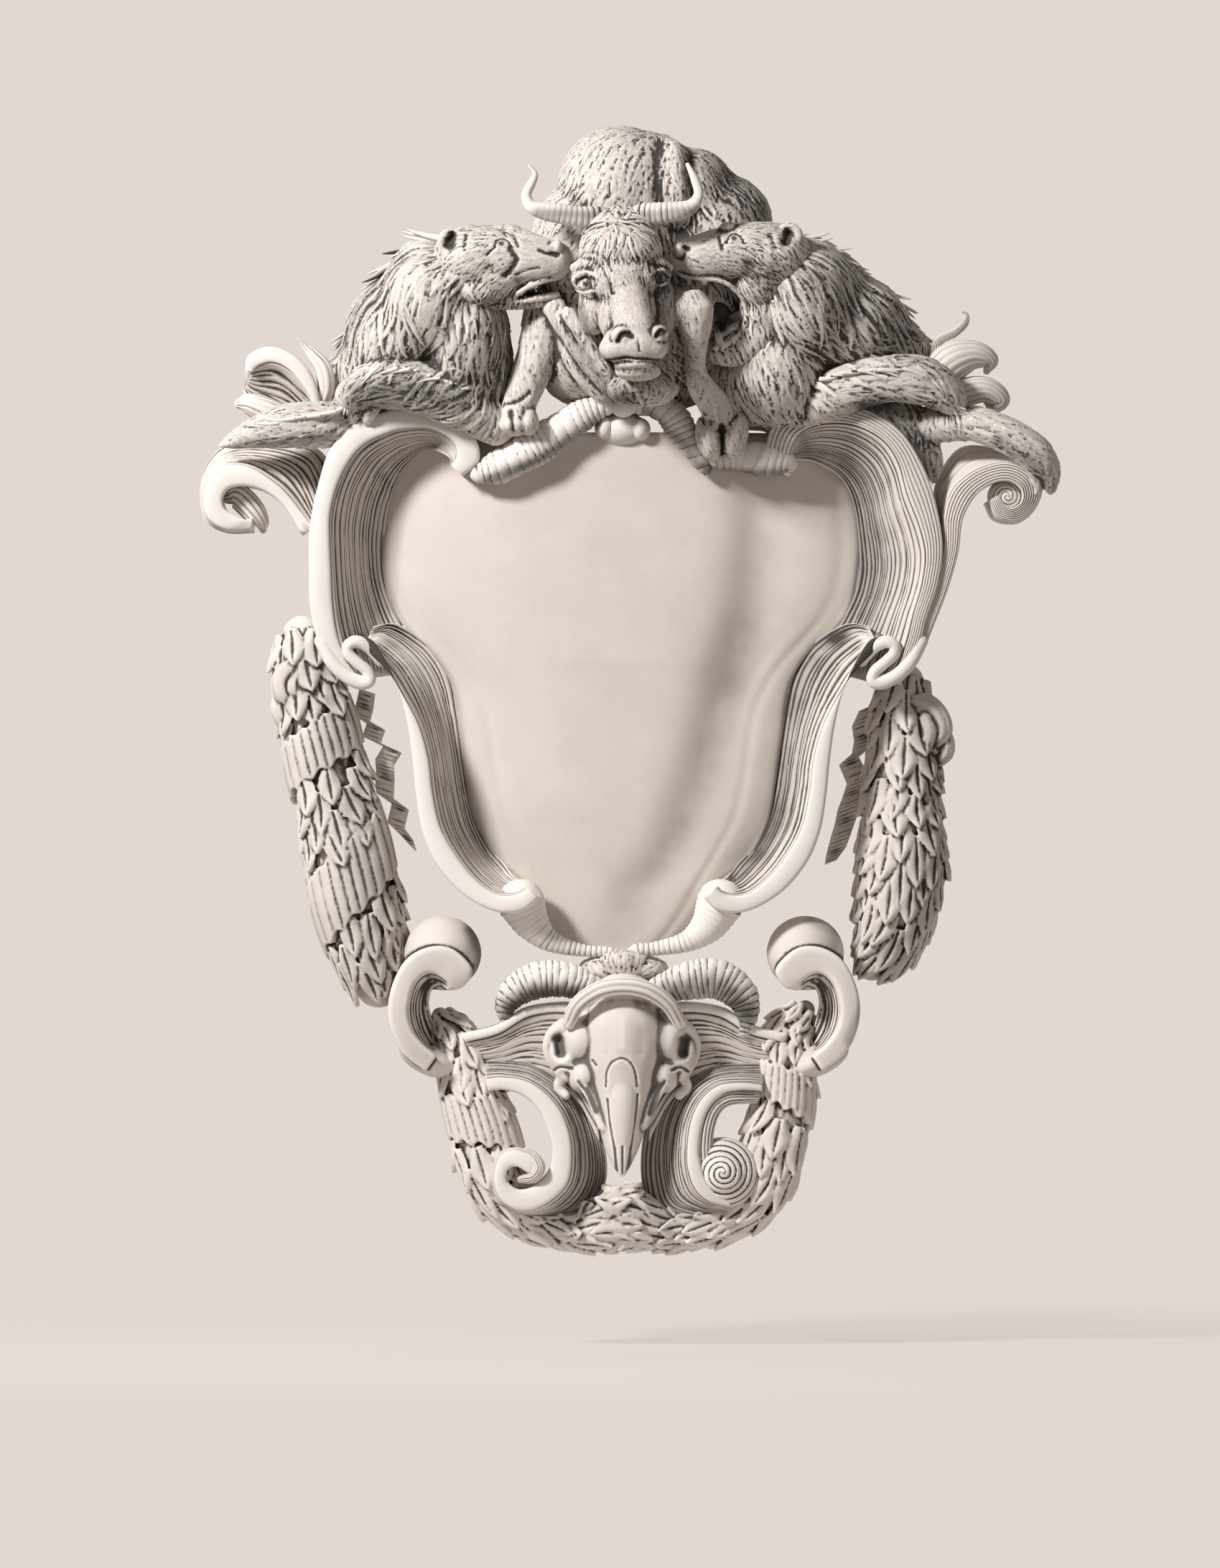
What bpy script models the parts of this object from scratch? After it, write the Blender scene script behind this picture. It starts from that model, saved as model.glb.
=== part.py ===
"""A carved stone cartouche: a pillowed shield in a strapwork frame, crowned by a bull between two lions,
with laurel garlands at the sides and a ram's skull between the scrolls at the foot.

Places are read off the carver's full-size drawing: (x, y) runs right and down from its upper left corner,
in squares of which DRAWN_HEIGHT make the cartouche's height. A third number is the distance out from the wall.
"""

import math

import bmesh
import bpy
import numpy as np
from mathutils import Matrix

# Driving sizes, in metres
HEIGHT = 1.563
RIM_BEVEL = 0.004
FLUTE_DEPTH = 0.0055
FIELD_EDGE = 0.050
FIELD_BULGE = 0.044
FIELD_VALLEY = 0.020
LEAF_LENGTH = 0.056
LEAF_WIDTH = 0.040
LEAF_LIFT = 0.011
WRAP_THICKNESS = 0.006
GARLAND_BITE = 0.004
RING_SPACING = 0.012
RING_DEPTH = 0.05
CARVING_STEP = 0.0042
TRIANGLES = 9900
BACK_TOLERANCE = 0.0015

# The drawing's grid
DRAWN_HEIGHT = 1563
MIDDLE = 865
ORIGIN_DOWN = 900
SQUARE = HEIGHT / DRAWN_HEIGHT

STONE_COLOUR = (0.56, 0.50, 0.44, 1.0)
STONE_ROUGHNESS = 0.85


def place(x, y, out=0.0):
    """A point of the drawing as a point of the model: x right, z up, and out towards -y."""
    return np.array([(x - MIDDLE) * SQUARE, -out * SQUARE, (ORIGIN_DOWN - y) * SQUARE])


def mirrored(stations, shift=0):
    """The same stations on the other side of the middle, shifted right by so many squares. Every station's
    places come first, as x and y by turns, and its last two numbers stay."""
    return [
        tuple(2 * MIDDLE - n + shift if i % 2 == 0 and i < len(s) - 2 else n for i, n in enumerate(s)) for s in stations
    ]


def smooth(points, count):
    """A Catmull-Rom curve through the points, at count places evenly spread along it."""
    p = np.asarray(points, float)
    p = np.vstack([2 * p[0] - p[1], p, 2 * p[-1] - p[-2]])
    gaps = np.linalg.norm(np.diff(p[1:-1, :2], axis=0), axis=1)
    along = np.concatenate([[0], np.cumsum(gaps)])
    at = np.linspace(0, along[-1], count)
    k = np.clip(np.searchsorted(along, at, "right") - 1, 0, len(gaps) - 1)
    t = ((at - along[k]) / gaps[k])[:, None]
    a, b, c, d = p[k], p[k + 1], p[k + 2], p[k + 3]
    return 0.5 * (2 * b + (c - a) * t + (2 * a - 5 * b + 4 * c - d) * t**2 + (3 * b - a - 3 * c + d) * t**3)


def loft(rows):
    """A closed body through rows of points: a grid bent to the rows, its long edges welded and its ends filled."""
    rows = np.asarray(rows, float)
    rows = np.concatenate([rows, rows[:, :1]], axis=1)
    along, across = rows.shape[:2]
    shape = bmesh.new()
    bmesh.ops.create_grid(shape, x_segments=across - 1, y_segments=along - 1, size=1)
    shape.verts.ensure_lookup_table()
    for vert, point in zip(shape.verts, rows.reshape(-1, 3)):
        vert.co = point
    bmesh.ops.remove_doubles(shape, verts=shape.verts, dist=1e-6)
    bmesh.ops.holes_fill(shape, edges=shape.edges)
    bmesh.ops.recalc_face_normals(shape, faces=shape.faces)
    return shape


def strap(stations, flutes=6, count=90, flute_depth=FLUTE_DEPTH):
    """A leathery strap seen on edge. Each station gives the outer edge and the inner edge of its rim, the foot of
    its fluted face, and how far rim and foot stand out: (x, y, x, y, x, y, rim_out, foot_out)."""
    s = smooth(stations, count)
    edge, rim, foot, rim_out, foot_out = s[:, 0:2], s[:, 2:4], s[:, 4:6], s[:, 6], s[:, 7]
    bevel = RIM_BEVEL / SQUARE
    wall = -2 * bevel
    columns = [(edge, 0 * rim_out + wall), (edge, 0.5 * rim_out), (edge, rim_out - bevel)]
    columns += [(edge + (rim - edge) * share, rim_out + rise) for share, rise in ((0.12, 0), (0.5, 1.2), (0.88, 0))]
    steps = flutes * 6
    for u in np.linspace(0, 1, steps + 1):
        fall = (1 - u) ** 2 * (1 - 0.25 * u)
        ripple = math.sin(math.pi * u) ** 0.6 * math.cos(2 * math.pi * flutes * u)
        out = foot_out + (rim_out - bevel - foot_out) * fall + flute_depth / SQUARE * ripple
        columns.append((rim + (foot - rim) * (0.06 + 0.94 * u), out))
    columns += [(foot, 0.5 * foot_out), (foot, 0 * foot_out + wall)]
    return loft(np.stack([[place(x, y, o) for (x, y), o in zip(xy, out)] for xy, out in columns], axis=1))


def frame_along(centre):
    """Two unit directions square to a line of points at each of them: one in the drawing's plane, one outwards."""
    heading = np.gradient(centre, axis=0)
    heading /= np.linalg.norm(heading, axis=1)[:, None]
    side = np.cross(heading, [0.0, 1.0, 0.0])
    side /= np.linalg.norm(side, axis=1)[:, None] + 1e-9
    return side, np.cross(heading, side)


def tube(path, sides=18, rings=0.0, flat=1.0, count=36):
    """A round limb along (x, y, out, radius) with rounded ends, ringed like a horn where rings says how deeply,
    and pressed flat towards the wall by flat."""
    s = smooth(path, count)
    centre = np.array([place(*row[:3]) for row in s])
    radius = s[:, 3] * SQUARE
    length = np.concatenate([[0], np.cumsum(np.linalg.norm(np.diff(centre, axis=0), axis=1))])
    radius = radius * (1 + rings * np.cos(2 * math.pi * length / RING_SPACING))
    turns = np.linspace(0, math.pi / 2, 5)[1:] * 0.97
    start = centre[0] - centre[1]
    finish = centre[-1] - centre[-2]
    start, finish = start / np.linalg.norm(start), finish / np.linalg.norm(finish)
    head = [centre[0] + start * radius[0] * math.sin(t) for t in turns[::-1]]
    tail = [centre[-1] + finish * radius[-1] * math.sin(t) for t in turns]
    centre = np.vstack([head, centre, tail])
    radius = np.concatenate([radius[0] * np.cos(turns[::-1]), radius, radius[-1] * np.cos(turns)])
    side, outward = frame_along(centre)
    angle = np.linspace(0, 2 * math.pi, sides, endpoint=False)
    ring = side[:, None] * np.cos(angle)[:, None] + flat * outward[:, None] * np.sin(angle)[:, None]
    return loft(centre[:, None] + radius[:, None, None] * ring)


def ball(x, y, out, wide, high, deep, tilt=0.0, turn=0.0):
    """An ellipsoid, tilted clockwise in the drawing's plane and then turned about its upright axis, in degrees."""
    shape = bmesh.new()
    bmesh.ops.create_uvsphere(shape, u_segments=24, v_segments=16, radius=1)
    size = Matrix.Diagonal((wide * SQUARE, deep * SQUARE, high * SQUARE, 1))
    spin = Matrix.Rotation(math.radians(turn), 4, "Z") @ Matrix.Rotation(math.radians(tilt), 4, "Y")
    bmesh.ops.transform(shape, matrix=Matrix.Translation(place(x, y, out)) @ spin @ size, verts=shape.verts)
    return shape


def hoop(x, y, out, wide, high, thick, tilt=0.0):
    """A ring facing out from the wall, for an ear, an eye socket or a scroll's eye."""
    lean = math.radians(tilt)
    path = []
    for a in np.linspace(0, 2 * math.pi, 13):
        across, up = wide * math.cos(a), high * math.sin(a)
        path.append(
            (x + across * math.cos(lean) - up * math.sin(lean), y + across * math.sin(lean) + up * math.cos(lean), out, thick)
        )
    return tube(path, sides=10, count=24)


# The strapwork frame

UPPER_STRAP = [
    (644, 663, 629, 650, 627, 645, 118, 112),
    (667, 643, 636, 637, 625, 637, 122, 112),
    (664, 614, 634, 621, 612, 629, 126, 100),
    (642, 589, 620, 607, 597, 626, 130, 86),
    (603, 574, 592, 598, 580, 633, 134, 74),
    (560, 570, 560, 599, 566, 646, 138, 66),
    (516, 580, 528, 613, 555, 664, 140, 60),
    (480, 600, 497, 629, 546, 684, 142, 56),
    (456, 636, 476, 662, 539, 708, 143, 54),
    (443, 682, 461, 698, 535, 736, 144, 52),
    (431, 735, 454, 737, 534, 766, 144, 50),
    (433, 790, 457, 790, 537, 800, 142, 50),
    (432, 842, 458, 845, 549, 842, 138, 50),
    (440, 884, 463, 888, 566, 874, 134, 50),
    (460, 924, 479, 918, 580, 905, 128, 48),
    (488, 948, 496, 938, 575, 935, 122, 48),
]
UPPER_STRAP_RIGHT = [
    (1100, 664, 1103, 652, 1105, 645, 118, 112),
    (1074, 650, 1099, 641, 1104, 640, 122, 112),
    (1067, 620, 1103, 622, 1110, 640, 126, 102),
    (1080, 588, 1118, 602, 1132, 642, 130, 88),
    (1115, 568, 1150, 591, 1160, 656, 136, 76),
    (1160, 562, 1190, 594, 1177, 672, 140, 66),
    (1210, 573, 1228, 614, 1188, 695, 142, 60),
    (1255, 603, 1250, 645, 1194, 722, 143, 56),
    (1285, 650, 1263, 690, 1197, 750, 144, 54),
    (1302, 700, 1280, 735, 1198, 775, 144, 52),
    (1312, 760, 1288, 772, 1197, 800, 144, 50),
    (1305, 815, 1284, 812, 1190, 830, 142, 50),
    (1290, 860, 1272, 855, 1175, 862, 138, 50),
    (1280, 900, 1262, 895, 1160, 885, 134, 50),
    (1262, 935, 1250, 925, 1155, 905, 128, 48),
    (1240, 957, 1236, 942, 1160, 935, 122, 48),
]
LOWER_STRAP = [
    (479, 900, 500, 906, 520, 872, 120, 84),
    (492, 887, 510, 905, 548, 868, 128, 70),
    (520, 893, 520, 915, 582, 884, 134, 56),
    (541, 926, 540, 935, 610, 908, 138, 50),
    (557, 965, 560, 965, 630, 945, 141, 48),
    (568, 1010, 583, 1008, 640, 1000, 143, 47),
    (575, 1060, 597, 1056, 647, 1052, 144, 46),
    (580, 1110, 603, 1104, 655, 1104, 144, 46),
    (589, 1160, 614, 1152, 666, 1146, 144, 46),
    (609, 1205, 636, 1192, 684, 1182, 144, 48),
    (645, 1245, 664, 1226, 702, 1203, 144, 54),
    (690, 1269, 692, 1245, 712, 1217, 146, 64),
    (728, 1268, 718, 1246, 716, 1222, 148, 80),
    (751, 1250, 735, 1237, 722, 1226, 150, 96),
]
HOOK = [(466, 930, 112, 10), (492, 944, 122, 11), (512, 952, 128, 11), (519, 941, 130, 10), (509, 925, 130, 8)]
EAR_LEFT = [
    (420, 744, 440, 740, 458, 722, 130, 70),
    (396, 706, 402, 690, 442, 668, 132, 66),
    (371, 686, 376, 667, 412, 636, 134, 64),
    (345, 678, 345, 650, 362, 622, 136, 62),
    (321, 681, 310, 650, 306, 624, 136, 62),
    (311, 694, 290, 670, 281, 656, 134, 60),
    (314, 709, 284, 696, 277, 692, 132, 62),
    (328, 716, 291, 721, 286, 726, 130, 74),
    (342, 713, 315, 736, 314, 741, 128, 90),
    (348, 706, 345, 736, 347, 741, 126, 100),
]
EAR_RIGHT = [
    (1252, 955, 1245, 945, 1240, 940, 112, 100),
    (1282, 915, 1272, 905, 1262, 900, 124, 100),
    (1300, 872, 1284, 866, 1274, 862, 130, 100),
    (1320, 820, 1302, 814, 1290, 812, 134, 100),
    (1334, 770, 1314, 764, 1300, 762, 136, 96),
    (1340, 725, 1314, 718, 1302, 716, 138, 90),
    (1356, 694, 1328, 680, 1306, 668, 138, 84),
    (1378, 676, 1362, 654, 1340, 622, 138, 78),
    (1402, 671, 1402, 645, 1404, 628, 138, 76),
    (1420, 682, 1436, 661, 1450, 655, 136, 80),
    (1421, 699, 1444, 696, 1448, 698, 132, 90),
    (1407, 708, 1420, 724, 1422, 727, 128, 100),
    (1396, 700, 1388, 720, 1386, 724, 124, 106),
    (1392, 688, 1376, 698, 1372, 700, 122, 108),
]
CURL_LEFT = [
    (446, 572, 452, 560, 462, 540, 100, 60),
    (420, 556, 432, 524, 448, 502, 108, 60),
    (390, 540, 402, 498, 416, 470, 112, 62),
    (362, 526, 372, 487, 378, 478, 112, 66),
    (356, 520, 346, 496, 342, 492, 108, 70),
    (362, 528, 344, 520, 340, 521, 104, 76),
]
CURL_LEFT_LOBE = [(440, 578, 96, 14), (400, 572, 104, 18), (362, 560, 104, 20), (342, 566, 98, 12)]
CURLS_RIGHT = [
    [(1300, 530, 100, 24), (1325, 505, 108, 30), (1358, 492, 110, 22), (1380, 500, 108, 13), (1372, 516, 104, 6)],
    [(1315, 560, 100, 22), (1345, 545, 108, 22), (1378, 542, 110, 20), (1396, 556, 106, 15), (1380, 567, 102, 7)],
    [(1303, 490, 92, 9), (1316, 472, 96, 7), (1336, 460, 98, 6), (1348, 446, 98, 5), (1346, 433, 96, 3)],
]
TAIL = [(726, 1258, 96, 34), (742, 1288, 92, 25), (768, 1312, 88, 15), (812, 1324, 86, 9), (850, 1326, 88, 7), (867, 1334, 88, 4)]
TAIL_RIGHT = [
    (1003, 1258, 96, 34), (985, 1290, 92, 25), (955, 1312, 88, 15), (910, 1322, 86, 10), (885, 1324, 88, 9), (873, 1334, 88, 5)
]

# The foot: two big scrolls, two C-scrolls and the cape between them

BIG_SCROLL = [
    (640, 1380, 624, 1376, 620, 1374, 128, 120),
    (657, 1348, 620, 1366, 614, 1372, 134, 116),
    (632, 1322, 606, 1356, 606, 1374, 138, 104),
    (600, 1318, 592, 1356, 600, 1380, 140, 90),
    (568, 1334, 577, 1370, 597, 1390, 142, 76),
    (549, 1365, 569, 1395, 596, 1402, 142, 66),
    (541, 1400, 568, 1415, 600, 1418, 140, 60),
    (545, 1435, 575, 1437, 606, 1435, 136, 56),
    (562, 1468, 590, 1456, 612, 1452, 130, 54),
    (592, 1492, 608, 1470, 620, 1466, 122, 54),
]
BIG_SCROLL_TOP = (616, 1328, 66, 54, 52, 68)
BIG_SCROLL_LOBE = (596, 1476, 60, 44, 22, 46, 25)
FOOT_SCROLL = [
    (680, 1520, 676, 1502, 672, 1460, 112, 66),
    (702, 1518, 700, 1500, 702, 1464, 114, 66),
    (728, 1526, 735, 1506, 745, 1470, 116, 66),
    (750, 1546, 766, 1528, 795, 1500, 118, 66),
    (764, 1578, 787, 1560, 824, 1545, 118, 64),
    (769, 1606, 796, 1602, 842, 1598, 118, 62),
    (762, 1634, 790, 1648, 843, 1650, 118, 60),
    (742, 1652, 760, 1677, 815, 1690, 120, 70),
    (722, 1656, 727, 1686, 740, 1694, 122, 96),
    (707, 1645, 699, 1672, 698, 1677, 124, 110),
    (706, 1632, 688, 1644, 685, 1646, 126, 116),
    (713, 1625, 695, 1612, 693, 1609, 128, 118),
    (722, 1625, 714, 1601, 714, 1598, 130, 120),
    (730, 1630, 740, 1608, 742, 1605, 130, 120),
    (736, 1634, 752, 1626, 756, 1624, 128, 118),
]
CAPE = [
    (640, 1440, 648, 1452, 664, 1502, 86, 70),
    (690, 1428, 694, 1440, 700, 1502, 90, 70),
    (730, 1404, 736, 1416, 748, 1502, 96, 72),
    (780, 1396, 782, 1410, 800, 1530, 102, 74),
    (820, 1400, 815, 1420, 835, 1590, 106, 78),
]

# The ram's skull

SKULL_FACE = [(868, 1428, 118, 58), (867, 1480, 124, 46), (866, 1540, 134, 34), (866, 1590, 140, 25), (866, 1628, 138, 14)]
SKULL_BROW = [(806, 1440, 128, 20), (835, 1424, 150, 24), (868, 1420, 158, 26), (905, 1424, 150, 24), (934, 1440, 128, 20)]
SKULL_SOCKETS = [(784, 1452, 122, 17, 24, 9, -8), (948, 1455, 122, 17, 24, 9, 8)]
SKULL_CHEEKS = [(800, 1490, 112, 18, 32, 60, -20), (932, 1490, 112, 18, 32, 60, 20)]
HEADBAND = [(795, 1420, 132, 11), (818, 1388, 146, 12), (868, 1372, 152, 12), (916, 1388, 146, 12), (948, 1424, 132, 11)]
HORN_LEFT = [
    (830, 1388, 96, 22), (798, 1366, 100, 25), (752, 1362, 96, 25), (717, 1380, 90, 21), (702, 1404, 84, 14), (703, 1424, 80, 7)
]
HORN_RIGHT = [
    (908, 1380, 96, 22), (950, 1362, 100, 26), (1002, 1362, 98, 27), (1034, 1388, 92, 23), (1042, 1418, 86, 15), (1038, 1438, 82, 8)
]
SKULL_TUFT = (868, 1350, 56, 62, 22, 58)

# The crest: rolls under the beasts

ROLLS = [
    [(668, 660, 108, 14), (700, 648, 110, 24), (745, 622, 110, 27), (790, 592, 110, 24), (828, 570, 110, 18), (862, 560, 110, 14)],
    [(872, 560, 110, 14), (905, 562, 110, 18), (935, 578, 110, 22), (955, 612, 110, 18), (972, 640, 110, 13), (984, 656, 108, 6)],
    [(1095, 645, 108, 16), (1062, 640, 110, 24), (1028, 636, 110, 22), (1000, 640, 110, 15), (988, 645, 106, 8)],
]
ROLL_KNOT = (868, 566, 112, 18, 16, 22)
ROLL_TASSEL = (866, 598, 80, 38, 24, 34)

# The beasts, as (x, y, out, half width, half height, half depth, tilt, turn)

BULL_BODY = [
    (882, 262, 92, 104, 88, 98), (975, 305, 70, 92, 72, 78), (925, 420, 85, 130, 120, 92),
    (800, 350, 95, 62, 95, 100), (800, 470, 80, 60, 90, 86), (880, 520, 60, 130, 60, 66),
]
BULL_HEAD = [
    (863, 340, 215, 60, 46, 62), (866, 400, 245, 50, 62, 46), (878, 440, 270, 42, 50, 38), (888, 482, 288, 52, 34, 42),
    (816, 415, 215, 30, 50, 46, 8), (925, 420, 215, 26, 50, 46, -8), (888, 512, 250, 42, 18, 40), (862, 306, 225, 44, 22, 44),
    (815, 378, 236, 20, 14, 22), (922, 372, 240, 16, 14, 22), (868, 472, 316, 14, 11, 12), (918, 470, 314, 13, 11, 12),
    (895, 545, 190, 52, 22, 60),
]
BULL_HORNS = [
    [(825, 305, 240, 17), (785, 308, 246, 16), (755, 300, 246, 13), (736, 284, 244, 10), (742, 262, 242, 8), (745, 240, 240, 4)],
    [(900, 304, 240, 17), (935, 306, 246, 16), (960, 298, 246, 13), (974, 278, 244, 10), (970, 256, 242, 8), (960, 234, 240, 4)],
]
BULL_DEWLAP = [
    [(772, 430, 170, 16), (800, 478, 178, 14), (832, 525, 176, 12), (866, 558, 160, 10)],
    [(790, 440, 190, 13), (820, 488, 196, 12), (846, 526, 192, 10)],
]
BULL_LEG_LEFT = [(768, 430, 120, 38), (756, 478, 128, 32), (738, 525, 132, 27), (724, 562, 134, 25), (718, 588, 134, 26)]
BULL_LEG_RIGHT = [(962, 425, 225, 26), (968, 462, 215, 20), (968, 505, 196, 16), (982, 542, 176, 18), (1002, 575, 150, 26)]
BULL_HOOFS = [(718, 592, 130, 25, 18, 40), (988, 610, 130, 18, 32, 40, -12), (1022, 606, 130, 18, 32, 40, 10)]

LEFT_LION = [
    (662, 366, 165, 58, 46, 62), (698, 336, 190, 26, 20, 26), (734, 340, 196, 42, 16, 26, 4), (748, 364, 190, 34, 30, 34),
    (773, 340, 200, 11, 13, 18), (688, 386, 195, 36, 32, 32), (722, 414, 172, 46, 14, 30, 6), (672, 414, 180, 40, 22, 40),
    (596, 420, 108, 68, 82, 112), (548, 470, 86, 66, 82, 92), (650, 470, 100, 60, 88, 104), (508, 512, 64, 38, 58, 70),
    (640, 540, 86, 74, 60, 90), (575, 545, 70, 90, 40, 76), (590, 362, 120, 34, 30, 60),
]
LEFT_LION_EAR = (628, 340, 208, 17, 15, 8)
LEFT_LION_LIMBS = [
    [(690, 592, 120, 28), (640, 562, 140, 34), (580, 540, 152, 33), (525, 538, 158, 29), (492, 548, 156, 23)],
    [(495, 588, 100, 18), (445, 592, 128, 26), (395, 598, 146, 22), (350, 606, 150, 15), (315, 614, 146, 7)],
]
RIGHT_LION = [
    (1066, 366, 165, 60, 50, 62), (1022, 334, 192, 28, 20, 26), (985, 344, 198, 44, 16, 26, -5), (970, 364, 192, 36, 25, 34),
    (944, 348, 200, 12, 13, 18), (1048, 398, 195, 36, 40, 32), (1022, 470, 176, 24, 44, 30, 20), (1052, 440, 160, 40, 50, 50),
    (1120, 420, 108, 78, 92, 112), (1180, 455, 86, 84, 72, 92), (1240, 488, 64, 58, 42, 70), (1080, 520, 96, 72, 80, 100),
    (1110, 570, 70, 70, 40, 76), (1030, 540, 80, 50, 60, 84),
]
RIGHT_LION_EAR = (1098, 334, 205, 18, 15, 8)
RIGHT_LION_TONGUE = (1000, 452, 176, 12, 24, 14, 20)
RIGHT_LION_LIMBS = [
    [(1105, 575, 110, 28), (1160, 550, 138, 32), (1225, 532, 156, 29), (1282, 535, 158, 31), (1312, 562, 146, 27), (1302, 606, 120, 14)],
    [(1295, 592, 110, 22), (1350, 596, 136, 21), (1402, 612, 148, 22), (1442, 640, 150, 22), (1462, 668, 146, 12)],
]

# Garlands, as (x, y, radius) along the middle of each, and the stretches of them that a ribbon wraps

GARLAND_LEFT = [
    (420, 885, 30), (424, 940, 40), (442, 1015, 46), (460, 1095, 49), (480, 1180, 53), (497, 1260, 54), (513, 1330, 46), (532, 1392, 28)
]
GARLAND_RIGHT = [
    (1262, 950, 28), (1258, 1000, 38), (1258, 1065, 44), (1256, 1130, 49), (1256, 1200, 55), (1247, 1270, 50), (1230, 1322, 38), (1206, 1356, 16)
]
GARLAND_LOW = [
    (612, 1416, 13), (634, 1452, 26), (650, 1505, 32), (666, 1555, 37), (680, 1608, 40), (702, 1664, 34), (745, 1698, 28), (805, 1713, 23),
    (868, 1717, 20), (930, 1714, 22), (985, 1704, 25), (1032, 1684, 28), (1062, 1650, 34), (1076, 1605, 38), (1088, 1550, 36),
    (1094, 1500, 32), (1098, 1450, 28), (1122, 1408, 15),
]
WRAPS_LEFT = [(0.20, 0.31), (0.48, 0.60)]
WRAPS_LOW = [(0.155, 0.21), (0.80, 0.855)]
LOW_LIFT = 24
BUNCHES = [(402, 955, 46, 26, 44, 50), (396, 1000, 40, 22, 24, 44), (1298, 1005, 44, 24, 36, 48), (1304, 1050, 40, 22, 26, 44)]
RIBBON_LEFT = [(488, 958), (502, 1000), (520, 1030), (516, 1060), (545, 1072), (532, 1100), (558, 1122), (556, 1150), (577, 1182)]
RIBBON_RIGHT = [(1236, 978), (1205, 1000), (1200, 1030), (1182, 1052), (1200, 1082), (1178, 1106), (1190, 1130), (1168, 1160), (1160, 1190)]
RIBBON_HALF_WIDTH = 15
RIBBON_OUT = 12

# The shield: its left and right borders from top to bottom, and the line of the valley in its pillow

FIELD_LEFT = [
    (600, 600), (556, 650), (536, 700), (530, 750), (534, 810), (552, 860), (596, 905), (628, 955), (638, 1020), (646, 1080),
    (658, 1140), (686, 1190), (712, 1215), (738, 1240), (752, 1285), (790, 1318), (850, 1338),
]
FIELD_RIGHT = [
    (1120, 600), (1168, 650), (1190, 700), (1198, 750), (1194, 810), (1178, 860), (1130, 905), (1100, 955), (1090, 1020), (1082, 1080),
    (1072, 1140), (1048, 1190), (1018, 1215), (992, 1240), (978, 1285), (940, 1318), (880, 1338),
]
FIELD_VALLEY_LINE = [(1062, 600), (1058, 740), (1045, 830), (1015, 940), (978, 1070), (935, 1180), (880, 1255), (868, 1338)]


def border(points, y):
    """How far right a border stands at each height y, smoothly through its points."""
    line = smooth(points, 200)
    return np.interp(y, line[:, 1], line[:, 0])


def field():
    """The shield's pillow: it swells from its border, and a valley runs down its right side."""
    heights = np.linspace(602, 1336, 62)
    left, right, valley = (border(line, heights) for line in (FIELD_LEFT, FIELD_RIGHT, FIELD_VALLEY_LINE))
    rows = []
    for y, start, end, low in zip(heights, left, right, valley):
        half = (end - start) / 2
        row = [place(start, y, -4)]
        for x in np.linspace(start, end, 48):
            inward = min(x - start, end - x)
            swell = 1 - max(0.0, 1 - inward / (half * 0.9)) ** 2.2
            taper = min(1.0, half / 260)
            dip = math.exp(-(((x - low) / 46) ** 2)) * min(1.0, inward / 60) * taper
            row.append(place(x, y, (FIELD_EDGE + FIELD_BULGE * swell * taper - FIELD_VALLEY * dip) / SQUARE))
        row.append(place(end, y, -4))
        rows.append(row)
    return loft(rows)


def garland_line(path, lift=0.0, count=120):
    """The middle of a garland, its radius, and the two directions square to it, with how far along each point is."""
    s = smooth(path, count)
    radius = s[:, 2] * SQUARE
    centre = np.array([place(x, y, r + lift) for x, y, r in s])
    centre[:, 1] += GARLAND_BITE
    side, outward = frame_along(centre)
    along = np.concatenate([[0], np.cumsum(np.linalg.norm(np.diff(centre, axis=0), axis=1))])
    return centre, radius, side, outward, along


def on_garland(line, at, angle, rise):
    """A point on a garland: so far along it, so far round from its outermost line, and so high above its core."""
    centre, radius, side, outward, along = line
    values = [np.interp(at, along, column) for column in (*centre.T, *side.T, *outward.T, radius)]
    middle, across, out, core = np.array(values[:3]), np.array(values[3:6]), np.array(values[6:9]), values[9]
    return middle + (core + rise) * (across * math.sin(angle) + out * math.cos(angle))


def leaf(line, at, angle, length, width, lift):
    """A laurel leaf lying on a garland, pointed at its tip, which stands out from the core."""
    rows = []
    core = np.interp(at, line[4], line[1])
    for t in np.linspace(0, 1, 7):
        half = width / 2 * math.sin(math.pi * min(1, 0.12 + 0.88 * t)) ** 0.8 + 0.0006
        top = lift * (0.35 + 0.65 * t)
        turn = half / max(core, 0.012)
        ring = [(-turn, 0.3 * top), (-0.5 * turn, 0.9 * top), (0, top + 0.001), (0.5 * turn, 0.9 * top), (turn, 0.3 * top), (0, -lift)]
        rows.append([on_garland(line, at + t * length, angle + a, rise) for a, rise in ring])
    return loft(rows)


def wrap(line, start, end):
    """A ribbon wound slantwise round a garland."""
    rows = []
    length = line[4][-1]
    for angle in np.linspace(-2.2, 2.2, 25):
        slant = 0.05 * angle / 2.2
        a, b = (start + slant) * length, (end + slant) * length
        ripple = 0.25 * WRAP_THICKNESS * math.cos(angle * 14)
        top = LEAF_LIFT * 0.5 + WRAP_THICKNESS + ripple
        rows.append([on_garland(line, a, angle, -0.006), on_garland(line, a, angle, top), on_garland(line, b, angle, top), on_garland(line, b, angle, -0.006)])
    return loft(rows)


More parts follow.
